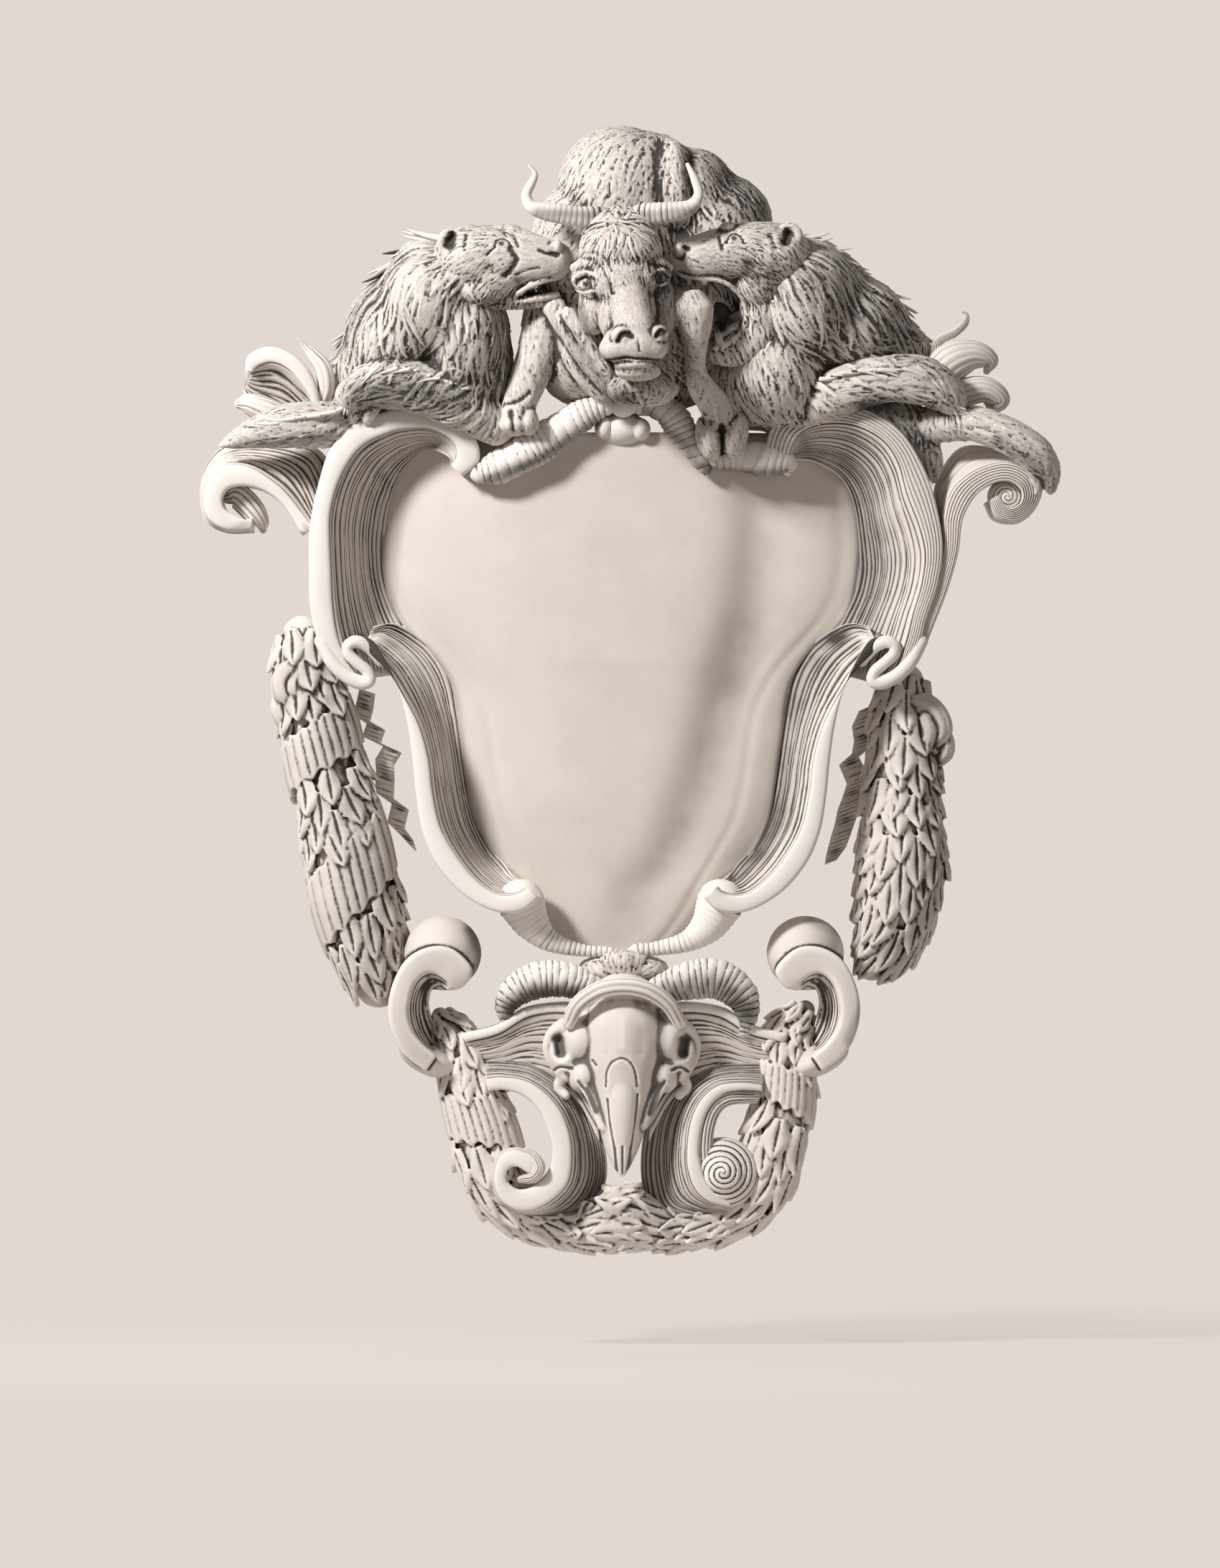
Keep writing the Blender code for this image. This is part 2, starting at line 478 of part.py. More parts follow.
def garland(path, wraps=(), lift=0.0):
    """A laurel garland: a core, rows of overlapping leaves round its front, and its ribbon wraps."""
    line = garland_line(path, lift)
    centre, radius, _, _, along = line
    core = [(x / SQUARE + MIDDLE, ORIGIN_DOWN - z / SQUARE, -y / SQUARE, r / SQUARE) for (x, y, z), r in zip(centre[::6], radius[::6])]
    forms = [tube(core, sides=16, count=60)]
    row_gap = LEAF_LENGTH * 0.52
    for row in range(int((along[-1] - LEAF_LENGTH) / row_gap)):
        at = (row + 0.3) * row_gap
        share = at / along[-1]
        if any(a - 0.03 < share < b - 0.01 for a, b in wraps):
            continue
        core_radius = np.interp(at, along, radius)
        spread = LEAF_WIDTH * 0.92 / max(core_radius, 0.02)
        around = int(1.9 / spread)
        for k in range(-around, around + 1):
            angle = (k + 0.5 * (row % 2)) * spread
            forms.append(leaf(line, at, angle, LEAF_LENGTH, LEAF_WIDTH, LEAF_LIFT))
    forms += [wrap(line, a, b) for a, b in wraps]
    return forms


def ribbon(points):
    """A crimped ribbon end hanging flat against the wall, its folds turning it left and right."""
    line = smooth(points, 60)
    rows = []
    for i, (x, y) in enumerate(line):
        swing = RIBBON_HALF_WIDTH * (1 + 0.15 * math.sin(i * 1.1))
        out = RIBBON_OUT + 5 * math.sin(i * 0.9)
        rows.append([place(x - swing, y - 6, -4), place(x - swing, y - 6, out), place(x + swing, y + 6, out + 4), place(x + swing, y + 6, -4)])
    return loft(rows)


def frame_forms():
    forms = [field()]
    forms += [strap(UPPER_STRAP), strap(UPPER_STRAP_RIGHT, flutes=7), strap(LOWER_STRAP), strap(mirrored(LOWER_STRAP))]
    forms += [tube(HOOK), tube([(2 * MIDDLE - x, y, out, r) for x, y, out, r in HOOK])]
    forms += [strap(EAR_LEFT, flutes=4), strap(EAR_RIGHT, flutes=3), strap(CURL_LEFT, flutes=3), tube(CURL_LEFT_LOBE)]
    forms += [tube(curl) for curl in CURLS_RIGHT]
    forms += [tube(TAIL, rings=RING_DEPTH), tube(TAIL_RIGHT, rings=RING_DEPTH)]
    return forms


def foot_forms():
    forms = []
    for stations in (BIG_SCROLL, FOOT_SCROLL, CAPE):
        forms += [strap(stations, flutes=4), strap(mirrored(stations, shift=8), flutes=4)]
    for x, *rest in (BIG_SCROLL_TOP, BIG_SCROLL_LOBE):
        forms.append(ball(x, *rest))
        tilted = rest[:5] + [-angle for angle in rest[5:]]
        forms.append(ball(2 * MIDDLE - x + 8, *tilted))
    return forms


def skull_forms():
    forms = [tube(SKULL_FACE), tube(SKULL_BROW), tube(HEADBAND, flat=0.8), ball(*SKULL_TUFT)]
    forms += [hoop(*socket) for socket in SKULL_SOCKETS]
    forms += [ball(*cheek) for cheek in SKULL_CHEEKS]
    forms += [tube(horn, rings=RING_DEPTH, count=90) for horn in (HORN_LEFT, HORN_RIGHT)]
    return forms


def crest_forms():
    forms = [tube(roll, rings=RING_DEPTH, count=80) for roll in ROLLS]
    forms += [ball(*ROLL_KNOT), ball(*ROLL_TASSEL)]
    return forms


def beast_forms():
    forms = [ball(*part) for part in BULL_BODY + BULL_HEAD + BULL_HOOFS + LEFT_LION + RIGHT_LION]
    forms += [tube(path) for path in BULL_HORNS + BULL_DEWLAP + LEFT_LION_LIMBS + RIGHT_LION_LIMBS]
    forms += [tube(BULL_LEG_LEFT), tube(BULL_LEG_RIGHT), ball(*RIGHT_LION_TONGUE)]
    forms += [hoop(*LEFT_LION_EAR), hoop(*RIGHT_LION_EAR)]
    return forms


def garland_forms():
    forms = garland(GARLAND_LEFT, WRAPS_LEFT) + garland(GARLAND_RIGHT) + garland(GARLAND_LOW, WRAPS_LOW, lift=LOW_LIFT)
    forms += [ball(*bunch) for bunch in BUNCHES]
    forms += [ribbon(RIBBON_LEFT), ribbon(RIBBON_RIGHT)]
    return forms


def joined(forms, name):
    """One mesh object of all the forms, still overlapping."""
    mesh = bpy.data.meshes.new(name)
    whole = bmesh.new()
    for shape in forms:
        shape.to_mesh(mesh)
        shape.free()
        whole.from_mesh(mesh)
    whole.to_mesh(mesh)
    whole.free()
    return bpy.data.objects.new(name, mesh)


def finished_mesh(thing):
    """The object's mesh with its modifiers applied, which are then removed."""
    evaluated = thing.evaluated_get(bpy.context.evaluated_depsgraph_get())
    mesh = bpy.data.meshes.new_from_object(evaluated)
    thing.modifiers.clear()
    return mesh


def largest_body(mesh):
    """Keeps the outer skin alone: the body with the most faces."""
    shape = bmesh.new()
    shape.from_mesh(mesh)
    unseen = set(shape.faces)
    bodies = []
    while unseen:
        body = [unseen.pop()]
        for face in body:
            for edge in face.edges:
                for other in edge.link_faces:
                    if other in unseen:
                        unseen.remove(other)
                        body.append(other)
        bodies.append(body)
    bodies.sort(key=len)
    for body in bodies[:-1]:
        bmesh.ops.delete(shape, geom=body, context="FACES")
    shape.to_mesh(mesh)
    shape.free()


def stone():
    material = bpy.data.materials.new("carved_limestone")
    material.use_nodes = True
    shader = material.node_tree.nodes["Principled BSDF"]
    shader.inputs["Base Color"].default_value = STONE_COLOUR
    shader.inputs["Roughness"].default_value = STONE_ROUGHNESS
    return material


def cut_at_wall(mesh):
    """Cuts the carving off flat at the wall's plane and closes its back."""
    shape = bmesh.new()
    shape.from_mesh(mesh)
    everything = shape.verts[:] + shape.edges[:] + shape.faces[:]
    bmesh.ops.bisect_plane(shape, geom=everything, dist=1e-6, plane_co=(0, 0, 0), plane_no=(0, 1, 0), clear_outer=True)
    outline = [edge for edge in shape.edges if edge.is_boundary]
    bmesh.ops.triangle_fill(shape, edges=outline, normal=(0, 1, 0))
    bmesh.ops.recalc_face_normals(shape, faces=shape.faces)
    shape.to_mesh(mesh)
    shape.free()


def flatten_back(mesh):
    """Brings what thinning has moved off the wall's plane back to it."""
    for vert in mesh.vertices:
        if vert.co.y > -BACK_TOLERANCE:
            vert.co.y = 0.0


def carve():
    """Joins the forms into one stone, as fine as a chisel's step, then thins its faces and cuts its back flat."""
    forms = frame_forms() + foot_forms() + skull_forms() + crest_forms() + beast_forms() + garland_forms()
    cartouche = joined(forms, "cartouche")
    collection = bpy.data.collections.new("carved_cartouche")
    bpy.context.scene.collection.children.link(collection)
    collection.objects.link(cartouche)
    chisel = cartouche.modifiers.new("chisel", "REMESH")
    chisel.mode = "VOXEL"
    chisel.voxel_size = CARVING_STEP
    cartouche.data = finished_mesh(cartouche)
    largest_body(cartouche.data)
    cut_at_wall(cartouche.data)
    thin = cartouche.modifiers.new("thin", "DECIMATE")
    cartouche.data.calc_loop_triangles()
    thin.ratio = TRIANGLES / len(cartouche.data.loop_triangles)
    thin.use_collapse_triangulate = True
    cartouche.data = finished_mesh(cartouche)
    flatten_back(cartouche.data)
    cartouche.data.materials.clear()
    cartouche.data.materials.append(stone())


for thing in list(bpy.data.objects):
    bpy.data.objects.remove(thing)
carve()
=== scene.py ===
import math

import bmesh
import bpy
import numpy as np
from mathutils import Matrix, Vector
from mathutils.kdtree import KDTree


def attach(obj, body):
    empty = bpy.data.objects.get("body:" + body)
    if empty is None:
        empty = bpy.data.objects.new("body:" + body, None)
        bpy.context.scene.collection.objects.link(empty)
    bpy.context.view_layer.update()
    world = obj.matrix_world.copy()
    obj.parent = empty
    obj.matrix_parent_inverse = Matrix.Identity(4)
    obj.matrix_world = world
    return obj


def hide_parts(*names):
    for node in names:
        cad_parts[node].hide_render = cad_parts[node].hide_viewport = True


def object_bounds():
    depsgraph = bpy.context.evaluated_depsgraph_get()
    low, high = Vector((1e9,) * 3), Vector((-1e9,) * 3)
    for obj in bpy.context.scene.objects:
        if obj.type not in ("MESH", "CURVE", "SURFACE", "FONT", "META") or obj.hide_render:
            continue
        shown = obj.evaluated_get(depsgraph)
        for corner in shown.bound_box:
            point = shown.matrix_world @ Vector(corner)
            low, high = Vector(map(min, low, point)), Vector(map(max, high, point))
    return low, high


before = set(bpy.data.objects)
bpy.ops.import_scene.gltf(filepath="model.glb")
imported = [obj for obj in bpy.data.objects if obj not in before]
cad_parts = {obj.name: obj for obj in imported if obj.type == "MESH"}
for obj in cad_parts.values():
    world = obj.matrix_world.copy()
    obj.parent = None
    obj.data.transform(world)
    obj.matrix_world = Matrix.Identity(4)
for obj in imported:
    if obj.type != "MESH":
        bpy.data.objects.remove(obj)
cad_box = [list(corner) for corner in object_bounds()]

# Places are read off the drawing of the cartouche: x right and y down in millimetres, and the distance
# out from the wall. MIDDLE and ORIGIN_DOWN are the drawing's place of the frame's origin.
MM = 0.001
MIDDLE = 865
ORIGIN_DOWN = 900
PICTURE = (1699, 2184)


def place(x, y, out=0.0):
    return np.array([(x - MIDDLE) * MM, -out * MM, (ORIGIN_DOWN - y) * MM])


def mirrored(stations, shift=0):
    """Stations on the other side of the middle. Their places come first, x and y by turns; the last two
    numbers are no places."""
    other_side = []
    for station in stations:
        places = len(station) - 2
        other_side.append(
            tuple(2 * MIDDLE - n + shift if i % 2 == 0 and i < places else n for i, n in enumerate(station))
        )
    return other_side


def smooth(points, count):
    """A Catmull-Rom curve through the points, at count places evenly spread along it."""
    p = np.asarray(points, float)
    p = np.vstack([2 * p[0] - p[1], p, 2 * p[-1] - p[-2]])
    gaps = np.linalg.norm(np.diff(p[1:-1, :2], axis=0), axis=1)
    along = np.concatenate([[0], np.cumsum(gaps)])
    at = np.linspace(0, along[-1], count)
    k = np.clip(np.searchsorted(along, at, "right") - 1, 0, len(gaps) - 1)
    t = ((at - along[k]) / gaps[k])[:, None]
    a, b, c, d = p[k], p[k + 1], p[k + 2], p[k + 3]
    return 0.5 * (2 * b + (c - a) * t + (2 * a - 5 * b + 4 * c - d) * t**2 + (3 * b - a - 3 * c + d) * t**3)


def unit(vectors):
    return vectors / (np.linalg.norm(vectors, axis=-1, keepdims=True) + 1e-12)


def loft(rows):
    """A closed body through rows of points: a grid bent to the rows, its long edges welded and its ends
    filled."""
    rows = np.asarray(rows, float)
    rows = np.concatenate([rows, rows[:, :1]], axis=1)
    along, across = rows.shape[:2]
    shape = bmesh.new()
    bmesh.ops.create_grid(shape, x_segments=across - 1, y_segments=along - 1, size=1)
    for vert, point in zip(shape.verts, rows.reshape(-1, 3)):
        vert.co = point
    bmesh.ops.remove_doubles(shape, verts=shape.verts, dist=1e-6)
    bmesh.ops.holes_fill(shape, edges=shape.edges)
    bmesh.ops.recalc_face_normals(shape, faces=shape.faces)
    return shape


def frame_along(centre):
    """Two unit directions square to a line of points at each of them: one in the drawing's plane, one
    outwards."""
    heading = unit(np.gradient(centre, axis=0))
    side = unit(np.cross(heading, [0.0, 1.0, 0.0]))
    return side, np.cross(heading, side)


def tube(path, sides=18, flat=1.0, count=36, surface=None):
    """A round limb along (x, y, out, radius) with rounded ends, pressed towards the wall by flat. The
    surface function takes how far along and how far round each point is, and gives how far it stands out,
    in millimetres."""
    s = smooth(path, count)
    centre = np.array([place(*row[:3]) for row in s])
    radius = s[:, 3] * MM
    length = np.concatenate([[0], np.cumsum(np.linalg.norm(np.diff(centre, axis=0), axis=1))])
    turns = np.linspace(0, math.pi / 2, 6)[1:] * 0.97
    start, finish = unit(centre[0] - centre[1]), unit(centre[-1] - centre[-2])
    head = [centre[0] + start * radius[0] * math.sin(t) for t in turns[::-1]]
    tail = [centre[-1] + finish * radius[-1] * math.sin(t) for t in turns]
    centre = np.vstack([head, centre, tail])
    before = -radius[0] * np.sin(turns[::-1])
    beyond = length[-1] + radius[-1] * np.sin(turns)
    length = np.concatenate([before, length, beyond])
    radius = np.concatenate([radius[0] * np.cos(turns[::-1]), radius, radius[-1] * np.cos(turns)])
    side, outward = frame_along(centre)
    angle = np.linspace(0, 2 * math.pi, sides, endpoint=False)
    ring = side[:, None] * np.cos(angle)[:, None] + flat * outward[:, None] * np.sin(angle)[:, None]
    reach = radius[:, None, None]
    if surface:
        reach = reach + surface(length[:, None], angle[None, :])[..., None] * MM
    return loft(centre[:, None] + reach * ring)


def ball(x, y, out, wide, high, deep, tilt=0.0, turn=0.0):
    """An ellipsoid, tilted clockwise in the drawing's plane and then turned about its upright axis, in
    degrees."""
    shape = bmesh.new()
    bmesh.ops.create_uvsphere(shape, u_segments=40, v_segments=28, radius=1)
    size = Matrix.Diagonal((wide * MM, deep * MM, high * MM, 1))
    spin = Matrix.Rotation(math.radians(turn), 4, "Z") @ Matrix.Rotation(math.radians(tilt), 4, "Y")
    there = Matrix.Translation(place(x, y, out))
    bmesh.ops.transform(shape, matrix=there @ spin @ size, verts=shape.verts)
    return shape


def hoop(x, y, out, wide, high, thick, tilt=0.0):
    """A ring facing out from the wall, for the rim of an ear."""
    lean = math.radians(tilt)
    path = []
    for a in np.linspace(0, 2 * math.pi, 17):
        across, up = wide * math.cos(a), high * math.sin(a)
        right = x + across * math.cos(lean) - up * math.sin(lean)
        down = y + across * math.sin(lean) + up * math.cos(lean)
        path.append((right, down, out, thick))
    return tube(path, sides=12, count=40)


def joined(shapes, name, back=0.4):
    """One mesh of all the shapes, pressed flat so near the wall."""
    mesh = bpy.data.meshes.new(name)
    whole = bmesh.new()
    for shape in shapes:
        shape.to_mesh(mesh)
        shape.free()
        whole.from_mesh(mesh)
    for vert in whole.verts:
        vert.co.y = min(vert.co.y, -back * MM)
    whole.to_mesh(mesh)
    whole.free()
    return mesh


def coordinates(mesh):
    co = np.empty(len(mesh.vertices) * 3, np.float32)
    mesh.vertices.foreach_get("co", co)
    return co.reshape(-1, 3).astype(float)


def normals(mesh):
    no = np.empty(len(mesh.vertices) * 3, np.float32)
    mesh.vertices.foreach_get("normal", no)
    return no.reshape(-1, 3).astype(float)


def move_to(mesh, co):
    mesh.vertices.foreach_set("co", np.ascontiguousarray(co, np.float32).ravel())
    mesh.update()


def joints_of(mesh):
    ends = np.empty(len(mesh.edges) * 2, np.int32)
    mesh.edges.foreach_get("vertices", ends)
    return ends.reshape(-1, 2)


def relaxed(values, ends, rounds, pull=0.6):
    """Values at the vertices, drawn towards their neighbours' mean that many times."""
    near = np.bincount(ends.ravel(), minlength=len(values))[:, None] + 1e-9
    values = values.astype(float)
    for _ in range(rounds):
        total = np.empty_like(values)
        for axis in range(values.shape[1]):
            column = values[:, axis]
            total[:, axis] = np.bincount(ends[:, 0], column[ends[:, 1]], len(values))
            total[:, axis] += np.bincount(ends[:, 1], column[ends[:, 0]], len(values))
        values += pull * (total / near - values)
    return values


def note(mesh, name, values):
    """Keeps a number or a vector for each vertex, for the stone's material to read."""
    kind = "FLOAT" if np.ndim(values) == 1 else "FLOAT_VECTOR"
    attribute = mesh.attributes.new(name, kind, "POINT")
    field = "value" if kind == "FLOAT" else "vector"
    attribute.data.foreach_set(field, np.ascontiguousarray(values, np.float32).ravel())


# How much painted shade and soot a line without a number of its own gets, and how near the wall there is
# none, in millimetres
DEEP = 1.2
CLEAN_BACK = 1.5


def paint_soot_and_shade(mesh, fine=5, broad=26, least=0.00012, shade_by_depth=None, shade_lines=()):
    """Paints shade, with some soot, into what lies below its surroundings, where shade falls, and works out
    where hands and rain rub the stone pale. A depth setting, if there is any, gives more painted shade
    between two distances out from the wall, the first the darker; the lines are lines of the drawing, with a
    width, the least distance out and how much, along which painted shade lies, in holes and on sides turned
    from the light."""
    co, no, ends = coordinates(mesh), normals(mesh), joints_of(mesh)
    # Painted shade, with some soot: darker wherever the surface lies below its surroundings, as shade falls
    # there
    near = np.einsum("ij,ij->i", relaxed(co, ends, fine) - co, no)
    far = np.einsum("ij,ij->i", relaxed(co, ends, broad) - co, no)
    near = near / max(np.percentile(near, 92), least)
    far = far / max(np.percentile(far, 94), 3 * least)
    hollow = 0.6 * np.clip(near, 0, 1.2) + 0.5 * np.clip(far, 0, 1.2)
    # Painted shade: darker between the two distances out from the wall, on faces not turned to the wall
    if shade_by_depth:
        low, high, most = shade_by_depth
        hollow += most * np.clip((high + co[:, 1] / MM) / (high - low), 0, 1) * (no[:, 1] < 0.5)
    at = drawn(co)
    # Painted shade along lines of the drawing: in holes and on sides turned from the light
    for line, width, least_out, *amount in shade_lines:
        most = amount[0] if amount else DEEP
        beside = np.exp(-((distance_to(line, at[:, :2]) / width) ** 2))
        hollow += most * beside * (at[:, 2] > least_out) * (no[:, 1] < 0.3)
    hollow *= co[:, 1] < -CLEAN_BACK * MM
    note(mesh, "hollow", np.clip(hollow, 0, 1))
    note(mesh, "proud", np.clip(-0.5 * near, 0, 1) * (hollow < 0.8))


# The share of its triangles that a piece keeps: most pieces, plain ones, beasts and garlands
KEPT = 0.38
KEPT_PLAIN = 0.22
KEPT_BEAST = 0.42
KEPT_LEAVES = 0.27


def changed(mesh, name, kind, **values):
    """What a modifier of that kind makes of a mesh."""
    lump = bpy.data.objects.new(name, mesh)
    bpy.context.scene.collection.objects.link(lump)
    modifier = lump.modifiers.new(name, kind)
    for key, value in values.items():
        setattr(modifier, key, value)
    result = bpy.data.meshes.new_from_object(lump.evaluated_get(bpy.context.evaluated_depsgraph_get()))
    bpy.data.objects.remove(lump)
    return result


def finish_piece(mesh, name, material, kept=KEPT):
    """Merges triangles where the surface is smoothest until the share that is kept is left, and makes the
    piece."""
    mesh = changed(mesh, name, "DECIMATE", ratio=kept)
    mesh.polygons.foreach_set("use_smooth", [True] * len(mesh.polygons))
    mesh.materials.clear()
    mesh.materials.append(material)
    mesh.name = name
    piece = bpy.data.objects.new(name, mesh)
    bpy.context.scene.collection.objects.link(piece)
    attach(piece, "root")
    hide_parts("cartouche")
    return piece


# Stone

SPEC = {
    "stone": "#E2DAD2",
    "warm": "#D0C4B9",
    # The dark colour of both soot and painted shade, in hollows and on sides turned from the light
    "soot_and_shade": "#3D3935",
    "rubbed": "#EFE9E2",
}


# Sizes of the stone's patterns in millimetres. The grain and the hair lines of the fur are drawn coarser
# than in real stone, so that they show in a picture of the whole carving.
CLOUD_SIZE = 71.4286
GRAIN_SIZE = 1.923077
GRAIN_DEPTH = 0.6
HAIR_WIDE = 2.5
HAIR_LONG = 62.5
HAIR_DEPTH = 1.6
# How far the hair lines shift from lock to lock, the share of the darkest painted shade and soot, and how
# much a fleck darkens
LOCK_SHIFT = 9.0
SOOT_AND_SHADE_MOST = 0.93
FLECK_DARK = 0.056


def linear(code):
    """An sRGB hex colour as Blender's linear red, green, blue and alpha."""
    parts = [int(code[i : i + 2], 16) / 255 for i in (1, 3, 5)]
    return (*[c / 12.92 if c <= 0.04045 else ((c + 0.055) / 1.055) ** 2.4 for c in parts], 1)


def add(tree, kind, links=(), **values):
    """Adds a node. values set its properties or, where it has none of that name, its inputs; links are
    pairs of an input and the output that feeds it."""
    node = tree.nodes.new(kind)
    for key, value in values.items():
        if hasattr(node, key):
            setattr(node, key, value)
        else:
            socket = int(key[2:]) if key.startswith("in") else key.replace("_", " ")
            node.inputs[socket].default_value = value
    for key, output in links:
        tree.links.new(output, node.inputs[key])
    return node


def noise(tree, where, scale, detail, roughness):
    """A cloudy pattern, its patches as many a metre as scale says."""
    links = [("Vector", where)]
    node = add(tree, "ShaderNodeTexNoise", links, Scale=scale, Detail=detail, Roughness=roughness)
    return node.outputs["Fac"]


def ranged(tree, source, low, high, least, most):
    """What lies between low and high, spread from least to most instead."""
    return add(tree, "ShaderNodeMapRange", [(0, source)], in1=low, in2=high, in3=least, in4=most)


def limestone(name, soot_and_shade_strength=1.0, strands=0.0):
    """Fine-grained pale limestone, carved and left outdoors under an eave: chalky, matt and faintly mottled,
    paler where it is rubbed, with old soot and painted shade in whatever lies deep and painted shade on
    sides turned from the light. strands draws the chisel's hair lines along each lock, with painted shade in
    them."""
    material = bpy.data.materials.new(name)
    material.use_nodes = True
    tree = material.node_tree
    shader = tree.nodes["Principled BSDF"]
    where = add(tree, "ShaderNodeTexCoord").outputs["Object"]
    hollow = add(tree, "ShaderNodeAttribute", attribute_name="hollow").outputs["Fac"]
    proud = add(tree, "ShaderNodeAttribute", attribute_name="proud").outputs["Fac"]
    colour = {key: linear(code) for key, code in SPEC.items()}
    clouds = noise(tree, where, 1 / (CLOUD_SIZE * MM), 5.0, 0.6)
    specks = noise(tree, where, 1 / (GRAIN_SIZE * MM), 3.0, 0.7)
    layers = [("Factor", clouds)]
    body = add(tree, "ShaderNodeMix", layers, data_type="RGBA", in6=colour["stone"], in7=colour["warm"])
    layers = [("Factor", proud), (6, body.outputs[2])]
    worn = add(tree, "ShaderNodeMix", layers, data_type="RGBA", in7=colour["rubbed"])
    patch = ranged(tree, clouds, 0.25, 0.75, 0.75, 1.2)
    # Painted shade and soot, more or less of it by the stone's cloudy patches
    soot_and_shade = add(tree, "ShaderNodeMath", [(0, hollow), (1, patch.outputs[0])], operation="MULTIPLY")
    depth = soot_and_shade.outputs[0]
    if strands:
        lock = add(tree, "ShaderNodeAttribute", attribute_name="lock")
        size = (1 / (HAIR_WIDE * MM), 1 / (HAIR_LONG * MM), LOCK_SHIFT)
        stretch = add(tree, "ShaderNodeMapping", [("Vector", lock.outputs["Vector"])], Scale=size)
        hairs = noise(tree, stretch.outputs[0], 1.0, 2.0, 0.5)
        # Painted shade in the grooves of the hair lines
        cut = ranged(tree, hairs, 0.5, 0.72, 0.0, strands)
        sum_of = add(tree, "ShaderNodeMath", [(0, depth), (1, cut.outputs[0])], operation="ADD")
        depth = sum_of.outputs[0]
    curve = ranged(tree, depth, 0.04, 0.95, 0.0, min(1.0, SOOT_AND_SHADE_MOST * soot_and_shade_strength))
    curve.interpolation_type = "SMOOTHSTEP"
    layers = [("Factor", curve.outputs[0]), (6, worn.outputs[2])]
    soot_and_shade_mixed = add(tree, "ShaderNodeMix", layers, data_type="RGBA", in7=colour["soot_and_shade"])
    fleck = ranged(tree, specks, 0.35, 0.7, 1.0, 1.0 - FLECK_DARK)
    layers = [(6, soot_and_shade_mixed.outputs[2]), (7, fleck.outputs[0])]
    tint = add(tree, "ShaderNodeMix", layers, data_type="RGBA", blend_type="MULTIPLY", in0=1.0)
    tree.links.new(tint.outputs[2], shader.inputs["Base Color"])
    rough = ranged(tree, clouds, 0.3, 0.7, 0.78, 0.92)
    tree.links.new(rough.outputs[0], shader.inputs["Roughness"])
    grain = add(tree, "ShaderNodeBump", [("Height", specks)], Strength=0.35, Distance=GRAIN_DEPTH * MM)
    surface = grain.outputs[0]
    if strands:
        links = [("Height", hairs), ("Normal", surface)]
        hair = add(tree, "ShaderNodeBump", links, Strength=0.8, Distance=HAIR_DEPTH * MM)
        hair.invert = True
        surface = hair.outputs[0]
    tree.links.new(surface, shader.inputs["Normal"])
    return material


rubbed_stone = limestone("rubbed_limestone", soot_and_shade_strength=0.9)
fluted_stone = limestone("fluted_limestone", soot_and_shade_strength=1.06)
furred_stone = limestone("furred_limestone", soot_and_shade_strength=1.06, strands=0.62)
leafy_stone = limestone("leafy_limestone", soot_and_shade_strength=1.06)


# Strapwork

RIM = [
    (0.0, -7.0), (0.015, -3.2), (0.07, -0.9), (0.2, 0.5), (0.5, 1.1), (0.8, 0.6), (0.93, -0.5),
    (0.985, -2.2), (1.0, -4.5),
]


def rim_of(lines):
    """The profile across a rim, with that many fine lines cut along it."""
    if not lines:
        return RIM
    shares = np.linspace(0, 1, 8 * lines + 1)
    arch = np.interp(shares, *np.transpose(RIM))
    return list(zip(shares, arch - 1.7 * (1 - np.abs(np.sin(math.pi * shares * lines)) ** 0.6)))


def flutes_of(count, number, steps, seed, depth, calm=0.0):
    """The chisel's flutes over a fluted face: how far each point lies below it. They run along the strap,
    unequal in width and depth, wander a little and fade in and out."""
    dice = np.random.default_rng(seed)
    widths = dice.uniform(0.5, 1.7, number)
    edges = np.concatenate([[0], np.cumsum(widths)]) / widths.sum()
    t = np.linspace(0, 1, count)
    u = np.linspace(0, 1, steps)
    low = np.zeros((count, steps))
    for k in range(1, number):
        cut = edges[k] + 0.2 / number * np.sin(2 * math.pi * (t * dice.uniform(0.7, 2.2) + dice.random()))
        strength = dice.uniform(0.35, 1.0) * (1 - calm * (1 - abs(2 * edges[k] - 1) ** 1.3))
        fading = np.sin(2 * math.pi * (t * dice.uniform(0.8, 3.5) + dice.random()))
        strength = strength * (0.75 + 0.25 * fading)
        near = np.abs(u[None, :] - cut[:, None]) * number / (0.4 + 0.8 * strength[:, None])
        low = np.minimum(low, -strength[:, None] * np.clip(1 - near * 1.3, 0, 1) ** 1.2)
    return depth * (low + 0.25 * np.sin(math.pi * u)[None, :] ** 0.5)


# How far a strap's face starts below its rim, in millimetres, and how many points go across a flute
LIP = 4.5
FLUTE_STEPS = 7


